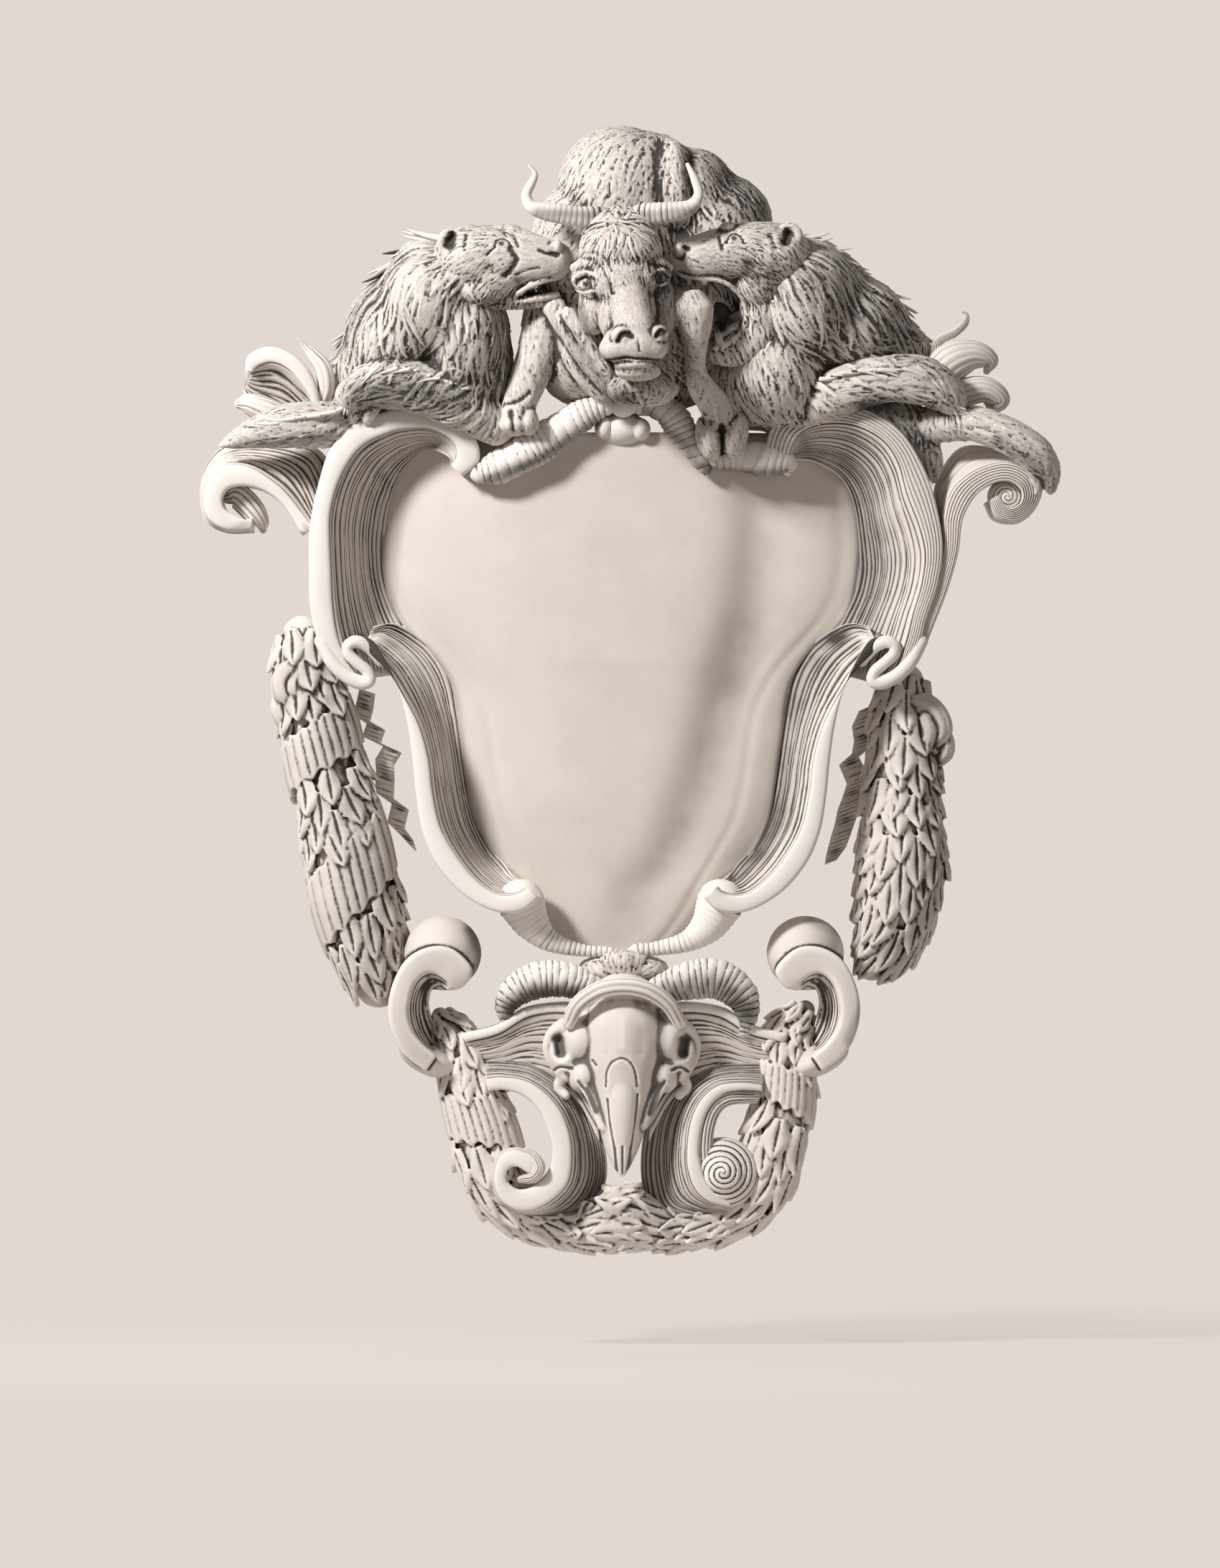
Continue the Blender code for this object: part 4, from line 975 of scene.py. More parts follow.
BULL_HORNS = [
    [
        (832, 308, 236, 15), (805, 308, 243, 14), (780, 304, 246, 14), (757, 300, 246, 12),
        (740, 293, 244, 9), (734, 278, 242, 7), (741, 262, 241, 6), (746, 249, 240, 4), (738, 238, 240, 2),
    ],
    [
        (894, 304, 236, 15), (920, 303, 243, 15), (945, 300, 246, 13), (963, 293, 246, 10),
        (972, 277, 244, 7), (967, 257, 242, 6), (957, 236, 240, 3),
    ],
]
BULL_DEWLAP = [
    [(772, 430, 170, 16), (800, 478, 180, 13), (832, 525, 178, 11), (866, 556, 164, 9)],
    [(792, 440, 196, 10), (818, 482, 204, 9), (842, 518, 202, 8), (858, 540, 190, 6)],
    [(785, 455, 150, 18), (806, 510, 156, 16), (838, 552, 150, 12)],
]
BULL_LEG_LEFT = [
    (768, 430, 120, 38), (756, 478, 128, 32), (738, 525, 132, 27), (724, 562, 134, 24), (718, 584, 134, 25),
]
BULL_LEG_RIGHT = [
    (958, 436, 214, 28), (968, 432, 224, 25), (968, 456, 220, 23), (968, 484, 208, 17), (968, 515, 194, 14),
    (974, 538, 180, 18), (992, 562, 162, 21), (1002, 580, 148, 25),
]
BULL_HOOFS = [
    (716, 592, 130, 24, 17, 38), (736, 588, 136, 14, 20, 30), (988, 610, 130, 18, 32, 40, -12),
    (1022, 606, 130, 18, 32, 40, 10),
]
BULL_FUR = [
    (862, 190, 120, -0.5, 0.8, 0, 24, 6, 2.4), (810, 240, 120, -0.6, 0.8, 0, 24, 6, 2.4),
    (880, 240, 180, -0.25, 1, 0, 24, 6, 2.4), (940, 230, 150, 0.15, 1, 0, 24, 6, 2.6),
    (975, 250, 120, 0.6, 0.8, 0, 32, 7, 3.6), (1040, 300, 90, 0.55, 0.9, 0, 32, 7, 3.6),
    (800, 330, 170, -0.7, 0.8, 0, 26, 7, 2.8), (770, 420, 170, -0.1, 1, 0, 28, 7, 2.8),
    (950, 420, 160, 0.3, 1, 0, 28, 7, 3.0), (880, 548, 230, 0.1, 1, 0, 34, 8, 5.0),
    (930, 548, 200, 0.3, 1, 0, 32, 8, 4.6), (820, 500, 150, 0.6, 1, 0, 26, 6, 2.6),
    (880, 600, 60, 0, 1, 0, 12, 5, 0.5),
]
BULL_FACE_FUR = [
    (857, 300, 262, 0, -1, 0.2, 24, 6, 3.0), (835, 312, 262, -1, 0.0, 0, 32, 6, 4.0),
    (885, 312, 262, 1, 0.05, 0, 32, 6, 4.0), (857, 330, 275, -0.1, 1, 0, 32, 6, 3.6),
    (815, 335, 250, -0.8, 0.6, 0, 18, 5, 1.6), (905, 335, 250, 0.8, 0.6, 0, 18, 5, 1.6),
    (868, 365, 288, 0.15, 1, 0, 15, 4, 1.0), (872, 420, 300, 0.2, 1, 0, 9, 3, 0.35),
    (815, 440, 262, -0.1, 1, 0, 12, 4, 0.8), (922, 440, 255, 0.2, 1, 0, 12, 4, 0.9),
    (885, 490, 325, 0.1, 1, 0, 6, 3, 0.16), (885, 525, 285, 0, 1, 0, 14, 4, 1.2),
]
BULL_STROKES = [
    ([(803, 400), (806, 391), (815, 388), (826, 393), (830, 404)], 2.4, -2.2, 235),
    ([(804, 409), (815, 412.5), (827, 408)], 2.0, -1.8, 235), ([(815, 401)], 3.2, -2.6, 250),
    ([(919, 393)], 2.8, -2.4, 240), ([(910, 396), (913, 387), (922, 385), (929, 392)], 2.2, -2.0, 232),
    ([(806, 371), (820, 366), (836, 376), (846, 394), (853, 415)], 3.0, -2.4, 235),
    ([(812, 361), (826, 358), (842, 366), (852, 384)], 2.6, -1.6, 235),
    ([(836, 420), (842, 436), (836, 452)], 6, -1.3, 235),
    ([(848, 392), (857, 420), (853, 448)], 7, -1.6, 235),
    ([(894, 385), (898, 410), (904, 440), (910, 456)], 7, -2.4, 235),
    ([(861, 481), (866, 473), (874, 471), (880, 476)], 3.6, -8.0, 270),
    ([(914, 475), (919, 468), (925, 470)], 3.2, -8.0, 262),
    ([(836, 505), (850, 509), (870, 504), (885, 506), (904, 506), (922, 510), (934, 503)], 1.8, -3.6, 250),
    ([(858, 522), (880, 526), (908, 523)], 3.0, -1.6, 235),
    ([(832, 478), (829, 492), (838, 506)], 4, -3.0, 240), ([(887, 478), (890, 496)], 2.2, -1.4, 300),
    ([(905, 385), (904, 372), (914, 360)], 3, -1.6, 230),
]

# Lines of painted shade in the eyes, nostrils and mouth and down the sides of the face: points, width, least
# distance out and, for some, how much
BULL_HOLES = [
    ([(862, 480), (868, 474), (877, 474)], 3.6, 260), ([(915, 474), (921, 470)], 3.2, 255),
    ([(816, 402), (817, 402)], 4.0, 240), ([(918, 394), (919, 394)], 3.4, 235),
    ([(842, 508), (870, 505), (904, 507), (928, 507)], 1.6, 240),
    ([(804, 396), (815, 390), (829, 396)], 2.2, 240, 0.7),
    ([(908, 392), (920, 386), (930, 392)], 2.0, 230, 0.7),
    ([(926, 380), (926, 430), (922, 470)], 13, 150, 0.45),
    ([(808, 430), (822, 480), (836, 512)], 8, 150, 0.45), ([(824, 350), (836, 372)], 9, 200, 0.25),
    ([(903, 430), (912, 455)], 5, 240, 0.3),
]
BULL_SHADE = [
    ([(992, 236), (1030, 270), (1062, 312)], 42, 20, 0.42), ([(916, 200), (912, 280)], 7, 20, 0.4),
    ([(962, 225), (966, 292)], 8, 20, 0.45), ([(800, 470), (830, 530), (870, 560)], 22, 60, 0.45),
    ([(880, 545), (930, 545)], 18, 60, 0.35), ([(950, 350), (955, 520)], 16, 40, 0.4),
    ([(770, 470), (755, 540)], 12, 60, 0.25), ([(780, 330), (790, 400)], 14, 60, 0.3),
    ([(1004, 596), (1006, 640)], 7, 60, 0.5),
]


# Creases down the body and clefts in the hoofs: points, width, depth and least distance out
BULL_CREASES = [
    ([(922, 192), (914, 240), (918, 288)], 11, -5, 60),
    ([(958, 220), (963, 256), (966, 290)], 9, -7, 60),
]
BULL_CLEFTS = [
    ([(712, 575), (716, 606)], 4, -6, 90),
    ([(1004, 596), (1006, 640)], 4, -10, 90),
    ([(738, 548), (722, 560), (700, 566)], 4, -3, 90),
]
BULL_HORN_SHADE = [([(750, 303), (832, 306)], 10, 0, 0.5), ([(890, 306), (964, 300)], 10, 0, 0.5)]


def bull():
    limbs = [tube(path) for path in BULL_DEWLAP] + [tube(BULL_LEG_LEFT), tube(BULL_LEG_RIGHT, flat=0.9)]
    limbs += [ball(*form) for form in BULL_HOOFS]
    mesh = skin([ball(*form) for form in BULL_BODY], "bull_body", 2.5, 70, limbs, 4, sawn=80)
    carved(mesh, BULL_CREASES)
    height, lock = combed(mesh, BULL_FUR, 3, 5.0)
    bare = drawn(coordinates(mesh))
    leg = (distance_to([row[:2] for row in BULL_LEG_LEFT], bare[:, :2]) < 30) & (bare[:, 1] > 470)
    leg |= (distance_to([row[:2] for row in BULL_LEG_RIGHT], bare[:, :2]) < 26) & (bare[:, 2] > 128)
    grow(mesh, np.where(leg, 0.55 * height, height))
    note(mesh, "lock", lock)
    carved(mesh, BULL_CLEFTS)
    paint_soot_and_shade(mesh, shade_lines=BULL_SHADE)
    finish_piece(mesh, "bull_body", furred_stone, KEPT_BEAST)
    features = [ball(*form) for form in BULL_FEATURES] + [tube(path, sides=12) for path in BULL_LIDS]
    masses = shapes_of(BULL_HEAD) + [tube(BULL_NOSE, flat=0.7)]
    mesh = skin(masses, "bull_head", 1.7, 22, features, 3)
    carved(mesh, BULL_STROKES)
    height, lock = combed(mesh, BULL_FACE_FUR, 5, 3.6)
    grow(mesh, height)
    note(mesh, "lock", lock)
    paint_soot_and_shade(mesh, shade_lines=BULL_HOLES)
    finish_piece(mesh, "bull_head", furred_stone, KEPT_BEAST)

    def surface(length, angle):
        fade = np.clip(1.25 - length / 0.08, 0, 1)
        return 1.7 * fade * (np.abs(np.sin(math.pi * length / 0.0075)) ** 0.6 - 0.7)

    mesh = joined([tube(path, sides=36, count=170, surface=surface) for path in BULL_HORNS], "bull_horns")
    paint_soot_and_shade(mesh, shade_by_depth=(215, 262, 0.3), shade_lines=BULL_HORN_SHADE)
    finish_piece(mesh, "bull_horns", fluted_stone)


# The lions

LEFT_LION_HEAD = [
    (662, 364, 158, 60, 46, 66), (690, 382, 180, 42, 34, 37), (672, 404, 164, 46, 26, 45),
    (640, 350, 174, 33, 27, 37),
    [
        (655, 362, 172, 46), (695, 359, 182, 41), (730, 363, 187, 36), (756, 367, 189, 32),
        (769, 369, 189, 27),
    ],
    [(672, 406, 164, 26), (710, 413, 166, 21), (745, 416, 168, 16), (766, 417, 168, 11)],
]
LEFT_LION_BRIDGE = [(696, 336, 186, 21), (730, 341, 195, 18), (766, 350, 200, 13)]
LEFT_LION_FEATURES = [
    (776, 349, 200, 9, 12, 15), (699, 344, 206, 7, 7, 8), (712, 325, 192, 16, 8, 16),
]
LEFT_LION_TUBES = [
    [(684, 355, 204, 2), (688, 343, 210, 3), (699, 337, 212, 3), (711, 340, 210, 3), (717, 349, 206, 2)],
    [(688, 351, 208, 2), (700, 353, 210, 2), (712, 350, 209, 2)],
    [
        (782, 380, 190, 5), (768, 391, 199, 4.6), (748, 398, 202, 4.4), (733, 405, 199, 4),
        (722, 412, 192, 4),
    ],
    [(776, 413, 178, 5), (760, 417, 184, 5), (740, 420, 184, 5), (722, 422, 176, 4)],
    [(746, 398, 200, 3), (747, 409, 198, 2)],
]
LEFT_LION_EAR = (630, 341, 196, 14, 13, 6, 30)
LEFT_LION_BODY = [
    (596, 420, 108, 68, 82, 112), (548, 470, 86, 66, 82, 92), (650, 470, 100, 60, 88, 104),
    (508, 512, 64, 38, 58, 70), (640, 540, 86, 74, 60, 90), (575, 545, 70, 90, 40, 76),
    (590, 362, 120, 34, 30, 60), (640, 385, 120, 50, 50, 90), (686, 510, 90, 30, 44, 70),
]
LEFT_LION_LIMBS = [
    [
        (690, 592, 120, 28), (640, 562, 140, 36), (580, 540, 152, 36), (525, 538, 158, 32),
        (492, 552, 152, 24),
    ],
    [
        (500, 592, 100, 26), (450, 592, 124, 32), (402, 594, 138, 31), (362, 603, 144, 23),
        (328, 614, 144, 13), (312, 620, 142, 5),
    ],
    [(505, 560, 150, 12), (494, 580, 142, 8), (492, 592, 136, 3)],
    [(522, 562, 154, 12), (513, 582, 146, 8), (511, 594, 140, 3)],
    [(360, 606, 152, 10), (330, 616, 148, 7), (306, 624, 144, 2)],
]
LEFT_LION_FUR = [
    (615, 330, 160, -1, 0.3, 0, 46, 10, 5.0), (560, 358, 130, -1, 0.5, 0, 60, 11, 6.0),
    (520, 420, 100, -0.75, 0.8, 0, 66, 12, 6.5), (484, 470, 80, -0.6, 0.9, 0, 66, 12, 6.5),
    (480, 520, 90, -0.2, 1, 0, 50, 10, 5.0), (560, 430, 190, -0.45, 1, 0, 60, 10, 4.5),
    (600, 400, 220, -0.35, 1, 0, 54, 9, 3.8), (640, 420, 215, -0.15, 1, 0, 48, 9, 3.8),
    (600, 470, 210, -0.25, 1, 0, 60, 9, 4.2), (650, 470, 205, 0.0, 1, 0, 56, 10, 5.0),
    (690, 490, 170, 0.35, 1, 0, 50, 10, 5.0), (700, 540, 130, 0.1, 1, 0, 40, 9, 4.0),
    (600, 520, 180, -0.6, 0.7, 0, 44, 9, 4.0), (650, 555, 175, -0.9, 0.35, 0, 40, 9, 3.6),
    (580, 535, 185, -1, 0.05, 0, 38, 8, 3.2), (520, 525, 188, -0.9, 0.4, 0, 34, 8, 3.2),
    (485, 560, 180, -0.2, 1, 0, 26, 8, 3.0), (450, 590, 150, -1, 0.15, 0, 36, 8, 3.0),
    (390, 595, 165, -1, 0.15, 0, 34, 7, 2.8), (330, 610, 155, -1, 0.2, 0, 26, 6, 2.4),
]
LEFT_LION_FACE_FUR = [
    (768, 345, 215, -1, -0.1, 0, 8, 3, 0.3), (740, 340, 218, -1, -0.1, 0, 9, 3, 0.5),
    (745, 375, 222, -1, 0.25, 0, 9, 3, 0.5), (718, 318, 212, -0.7, -0.8, 0, 16, 5, 2.2),
    (700, 370, 224, -0.8, 0.6, 0, 13, 4, 1.1), (665, 370, 226, -0.7, 0.7, 0, 17, 5, 1.7),
    (640, 360, 214, -0.8, 0.6, 0, 22, 6, 2.4), (655, 330, 200, -1, -0.1, 0, 17, 5, 2.0),
    (680, 405, 214, -0.3, 1, 0, 22, 6, 2.8), (720, 424, 195, 0, 1, 0, 20, 6, 2.8),
    (760, 428, 190, 0.1, 1, 0, 12, 4, 1.4), (640, 400, 200, -0.3, 1, 0, 34, 8, 3.4),
]
LEFT_LION_STROKES = [
    ([(690, 350), (692, 341), (700, 338), (709, 342), (712, 349)], 2.0, -2.2, 195),
    ([(699, 344)], 2.8, -2.4, 200), ([(680, 360), (687, 352)], 2.2, -2.2, 195),
    ([(712, 352), (720, 366), (713, 378), (704, 388)], 5.0, -4.2, 195),
    ([(768, 358), (776, 360)], 3.6, -5.0, 195), ([(752, 354), (762, 358)], 3.4, -3.0, 195),
    ([(782, 396), (770, 402), (752, 407), (737, 412), (722, 418)], 3.2, -8.0, 150),
    ([(720, 386), (736, 380), (752, 377)], 2.6, -1.6, 200),
    ([(704, 330), (716, 336), (722, 348)], 3.0, -1.8, 200), ([(648, 350), (650, 334)], 4.0, -3.0, 180),
    ([(632, 332), (626, 346)], 6.5, -11, 180), ([(768, 336), (764, 344)], 2.4, -1.6, 200),
]
RIGHT_LION_HEAD = [
    (1068, 362, 158, 62, 50, 68), (1092, 352, 168, 32, 28, 36), (1058, 396, 176, 36, 34, 38),
    (1064, 438, 150, 36, 50, 46), (1008, 432, 140, 34, 36, 26),
    [
        (1080, 360, 172, 47), (1045, 354, 182, 42), (1010, 357, 188, 36), (980, 363, 190, 31),
        (960, 366, 190, 27), (948, 367, 190, 20),
    ],
]
RIGHT_LION_BRIDGE = [(1024, 335, 186, 22), (988, 342, 194, 18), (954, 350, 198, 14)]
RIGHT_LION_JAW = [
    (1072, 430, 158, 34), (1056, 466, 164, 27), (1034, 488, 168, 21), (1010, 496, 170, 16),
    (994, 497, 168, 11),
]
RIGHT_LION_FEATURES = [(946, 352, 204, 9, 12, 16), (1021, 337, 208, 8, 8, 8), (1012, 321, 196, 12, 8, 16)]
RIGHT_LION_TUBES = [
    [
        (1007, 345, 204, 2), (1012, 335, 210, 3), (1021, 330, 212, 3), (1031, 335, 210, 3),
        (1037, 345, 205, 2),
    ],
    [(1011, 345, 208, 2), (1021, 347, 209, 2), (1031, 345, 208, 2)],
    [(938, 378, 192, 5), (952, 388, 200, 4.4), (975, 392, 203, 4), (998, 394, 203, 4), (1014, 400, 200, 4)],
    [
        (1014, 400, 200, 4), (1029, 414, 190, 3.4), (1038, 432, 182, 3.4), (1038, 450, 178, 3.4),
        (1030, 468, 180, 3.6), (1014, 481, 184, 4), (996, 487, 182, 4),
    ],
    [(980, 396, 200, 5), (983, 407, 198, 4), (985, 416, 194, 2)],
    [(1000, 478, 184, 5), (998, 466, 182, 4), (997, 456, 180, 2)], [(958, 394, 198, 4), (959, 403, 194, 2)],
    [(1026, 446, 154, 11), (1016, 460, 168, 10), (1008, 470, 174, 8)],
]
RIGHT_LION_EAR = (1096, 334, 196, 15, 13, 6, -30)
RIGHT_LION_BODY = [
    (1120, 420, 108, 78, 92, 112), (1180, 455, 86, 84, 72, 92), (1240, 488, 64, 58, 42, 70),
    (1080, 520, 96, 72, 80, 100), (1110, 570, 70, 70, 40, 76), (1030, 540, 80, 50, 60, 84),
    (1100, 370, 110, 50, 40, 70), (1150, 400, 90, 60, 50, 80),
]
RIGHT_LION_LIMBS = [
    [
        (1105, 575, 110, 28), (1160, 550, 138, 34), (1225, 530, 154, 32), (1282, 532, 158, 33),
        (1318, 552, 152, 26), (1332, 572, 142, 15),
    ],
    [
        (1295, 592, 110, 26), (1350, 590, 136, 25), (1402, 608, 148, 25), (1440, 634, 148, 25),
        (1460, 660, 142, 17), (1462, 682, 136, 8),
    ],
    [
        (1180, 560, 96, 34), (1230, 575, 100, 40), (1268, 602, 98, 34), (1294, 642, 92, 20),
        (1302, 664, 88, 8),
    ],
    [(1436, 652, 146, 11), (1444, 676, 140, 8), (1440, 692, 134, 2)],
    [(1322, 560, 152, 10), (1326, 582, 146, 7), (1320, 594, 140, 3)],
]
RIGHT_LION_FUR = [
    (1115, 335, 150, 1, 0.35, 0, 50, 10, 5.0), (1160, 370, 120, 1, 0.6, 0, 62, 11, 6.0),
    (1220, 410, 100, 0.95, 0.7, 0, 66, 12, 6.5), (1280, 470, 70, 0.7, 0.9, 0, 60, 12, 6.0),
    (1110, 400, 210, 0.55, 1, 0, 54, 9, 4.2), (1150, 440, 190, 0.75, 0.9, 0, 60, 10, 5.0),
    (1210, 480, 150, 0.85, 0.6, 0, 56, 10, 5.0), (1070, 470, 200, 0.3, 1, 0, 50, 9, 4.5),
    (1040, 500, 180, 0.25, 1, 0, 44, 9, 4.5), (1060, 540, 190, 0.15, 1, 0, 46, 9, 4.2),
    (1020, 560, 160, 0.1, 1, 0, 36, 8, 3.6), (1100, 560, 170, 0.3, 1, 0, 40, 9, 3.8),
    (1130, 500, 200, 0.6, 0.9, 0, 54, 9, 4.5), (1160, 535, 175, 0.9, 0.0, 0, 40, 8, 3.2),
    (1230, 525, 188, 1, 0.05, 0, 38, 8, 3.2), (1290, 530, 188, 0.8, 0.6, 0, 34, 8, 3.4),
    (1300, 590, 150, 0.0, 1, 0, 34, 8, 3.4), (1240, 565, 150, 0.5, 0.9, 0, 40, 9, 4.0),
    (1350, 590, 155, 1, 0.2, 0, 34, 7, 2.8), (1410, 615, 168, 0.9, 0.5, 0, 30, 7, 2.8),
    (1460, 665, 160, 0.3, 1, 0, 20, 6, 2.4),
]
RIGHT_LION_FACE_FUR = [
    (948, 345, 218, 1, -0.1, 0, 8, 3, 0.3), (985, 340, 222, 1, -0.1, 0, 9, 3, 0.5),
    (975, 370, 226, 1, 0.15, 0, 10, 3, 0.6), (1015, 318, 212, 0.6, -0.7, 0, 13, 4, 1.4),
    (1020, 370, 222, 0.8, 0.6, 0, 15, 4, 1.5), (1055, 370, 226, 0.7, 0.8, 0, 18, 5, 2.0),
    (1090, 360, 210, 0.8, 0.6, 0, 24, 7, 3.0), (1060, 325, 200, 1, 0, 0, 17, 5, 2.0),
    (1055, 410, 222, 0.35, 1, 0, 22, 6, 2.6), (1050, 450, 205, 0.2, 1, 0, 26, 7, 3.2),
    (1005, 505, 195, 0.4, 1, 0, 26, 7, 3.4), (1045, 500, 180, 0.2, 1, 0, 34, 8, 3.8),
]
RIGHT_LION_STROKES = [
    ([(1011, 342), (1015, 334), (1022, 331), (1031, 336), (1034, 343)], 2.0, -2.2, 195),
    ([(1021, 337)], 2.8, -2.6, 200), ([(1004, 348), (1010, 343)], 2.2, -1.6, 200),
    ([(952, 349), (958, 351)], 2.8, -4.0, 200), ([(958, 408), (975, 412)], 4.0, -10, 150),
    ([(958, 364), (972, 370)], 1.8, -1.0, 210), ([(962, 374), (978, 378)], 1.8, -1.0, 210),
    ([(1000, 336), (1004, 352)], 3.0, -2.2, 195), ([(1040, 372), (1058, 376)], 6.0, -2.0, 195),
    ([(1096, 330), (1092, 342)], 6.5, -11, 180), ([(1078, 350), (1070, 332)], 4.0, -2.6, 180),
    ([(1008, 474), (1022, 464)], 3.0, -5, 150),
]


LEFT_LION_MOUTH = [([(780, 402), (758, 407), (736, 412)], 5, -20, 120)]
# Lines of painted shade in the mouth, eye, nostril and ear and in creases of the face: points, width, least
# distance out and, for some, how much
LEFT_LION_HOLES = [
    ([(774, 403), (754, 408), (738, 413)], 4.5, 130), ([(699, 344), (700, 344)], 3.4, 190),
    ([(771, 358), (776, 360)], 3, 180), ([(630, 335), (628, 346)], 7, 150),
    ([(712, 352), (714, 384)], 6, 150, 0.35), ([(680, 425), (740, 430)], 8, 100, 0.4),
]
LEFT_LION_SHADE = [
    ([(684, 430), (700, 490), (690, 555)], 24, 40, 0.45),
    ([(500, 552), (570, 546), (640, 562)], 24, 60, 0.55), ([(640, 470), (650, 530)], 16, 40, 0.25),
    ([(470, 500), (500, 430), (560, 360)], 14, 20, 0.3), ([(330, 622), (400, 616), (460, 612)], 8, 60, 0.4),
    ([(540, 500), (600, 500)], 14, 40, 0.25),
]
RIGHT_LION_MOUTH = [([(984, 408), (1004, 412), (1020, 430), (1022, 452)], 9, -22, 110)]
# Lines of painted shade in the mouth, eye, nostril and ear and over the face's side turned from the light:
# points, width, least distance out and, for some, how much
RIGHT_LION_HOLES = [
    ([(990, 372), (1060, 384)], 34, 100, 0.2),
    ([(978, 408), (1000, 410), (1018, 426), (1024, 444)], 9, 100),
    ([(996, 428), (1008, 442), (1004, 456)], 12, 100), ([(1021, 337), (1022, 337)], 3.4, 190),
    ([(954, 350), (958, 350)], 2.2, 190), ([(1096, 330), (1094, 340)], 7, 150),
    ([(1070, 380), (1066, 450)], 20, 100, 0.3), ([(1040, 372), (1052, 400)], 8, 100, 0.25),
]
RIGHT_LION_SHADE = [
    ([(1110, 370), (1180, 430), (1270, 490)], 56, 10, 0.36),
    ([(1200, 585), (1260, 600), (1298, 655)], 26, 10, 0.5), ([(1200, 566), (1300, 574)], 10, 60, 0.4),
    ([(1390, 618), (1440, 650), (1462, 680)], 13, 60, 0.5),
    ([(990, 425), (1012, 440), (1010, 465)], 18, 0, 1.0), ([(1050, 500), (1070, 580)], 22, 40, 0.25),
]
LEFT_MANE_EDGE = [
    (612, 330, 150, -1, -0.1), (575, 345, 130, -1, 0.1), (540, 375, 110, -0.9, 0.45),
    (508, 425, 90, -0.8, 0.6), (484, 470, 80, -0.7, 0.75), (474, 520, 80, -0.5, 0.9),
    (476, 555, 90, -0.2, 1),
]
LEFT_ARM_EDGE = [
    (640, 545, 172, -1, 0.15), (590, 530, 182, -1, 0.05), (540, 520, 186, -0.9, 0.3),
    (505, 530, 178, -0.6, 0.8), (490, 556, 160, -0.3, 1), (470, 575, 160, -0.8, 0.5),
    (440, 580, 160, -1, 0.1), (400, 586, 166, -1, 0.15), (360, 598, 162, -1, 0.2),
    (330, 610, 154, -1, 0.25),
]
RIGHT_ARM_EDGE = [
    (1160, 530, 168, 1, -0.05), (1210, 520, 184, 1, 0.05), (1262, 520, 186, 1, 0.15),
    (1300, 530, 180, 0.7, 0.7), (1318, 552, 166, 0.4, 1), (1350, 580, 156, 1, 0.1),
    (1395, 596, 168, 1, 0.25), (1430, 618, 168, 0.8, 0.6), (1452, 642, 160, 0.5, 0.9),
]
RIGHT_TUFT_EDGE = [
    (1180, 570, 120, 0.4, 1), (1220, 585, 128, 0.5, 0.9), (1255, 600, 126, 0.5, 0.9),
    (1280, 625, 116, 0.4, 1), (1294, 650, 106, 0.3, 1),
]
RIGHT_MANE_EDGE = [
    (1118, 334, 150, 1, -0.05), (1155, 352, 130, 1, 0.15), (1195, 384, 110, 0.95, 0.35),
    (1240, 412, 90, 0.9, 0.5), (1272, 455, 80, 0.8, 0.7), (1296, 500, 80, 0.7, 0.8),
]


def mane_ends(edges, name, seed, shade):
    """Loose ends of fur, each a tapered, bent lock: those of the mane leave its outline and those on a limb
    lie along it. Each edge comes with how many locks it has, how long they are, how much of each lies
    beyond the edge and how stout they are."""
    dice = np.random.default_rng(seed)
    locks = []
    for edge, count, reach, beyond, stout in edges:
        line = smooth(edge, 200)
        for k in range(count):
            x, y, out, right, down = line[int(199 * (k + dice.random()) / count)]
            length = reach * dice.uniform(0.6, 1.3)
            bend, far = dice.uniform(-0.3, 0.5), dice.uniform(-14, 6)
            thick = stout * dice.uniform(3.4, 5.6)
            path = []
            for t in (0, 0.3, 0.6, 0.85, 1):
                ahead, aside = length * (t - 1 + beyond), length * bend * t**2 * 0.6
                radius = thick * (1 - t) ** 0.6 + 0.5
                path.append((x + right * ahead, y + down * ahead + aside, out + far, radius))
            locks.append(tube(path, sides=12, count=20, surface=grooved(5, 0.5)))
    mesh = joined(locks, name)
    paint_soot_and_shade(mesh, shade_by_depth=(60, 190, 0.2), shade_lines=shade)
    finish_piece(mesh, name, fluted_stone)


def lion(name, body, limbs, fur, head, features, ear, face_fur, strokes, mouth, shade_lines, shade, edges, seed):
    masses, tubes = [ball(*form) for form in body], [tube(path) for path in limbs]
    mesh = skin(masses, name + "_body", 2.6, 90, tubes, 5, sawn=80)
    height, lock = combed(mesh, fur, seed, 6.5)
    grow(mesh, height, base=0.25)
    note(mesh, "lock", lock)
    paint_soot_and_shade(mesh, shade_lines=shade)
    finish_piece(mesh, name + "_body", furred_stone, KEPT_BEAST)
    mane_ends(edges, name + "_loose_fur", seed + 2, shade)
    masses = shapes_of(head)
    small = shapes_of(features, sides=12) + [hoop(*ear)]
    mesh = skin(masses, name + "_head", 1.7, 16, small, 4, mouth)
    carved(mesh, strokes)
    height, lock = combed(mesh, face_fur, seed + 1, 3.8)
    grow(mesh, height, base=0.3)
    note(mesh, "lock", lock)
    paint_soot_and_shade(mesh, shade_lines=shade_lines)
    finish_piece(mesh, name + "_head", furred_stone, KEPT_BEAST)


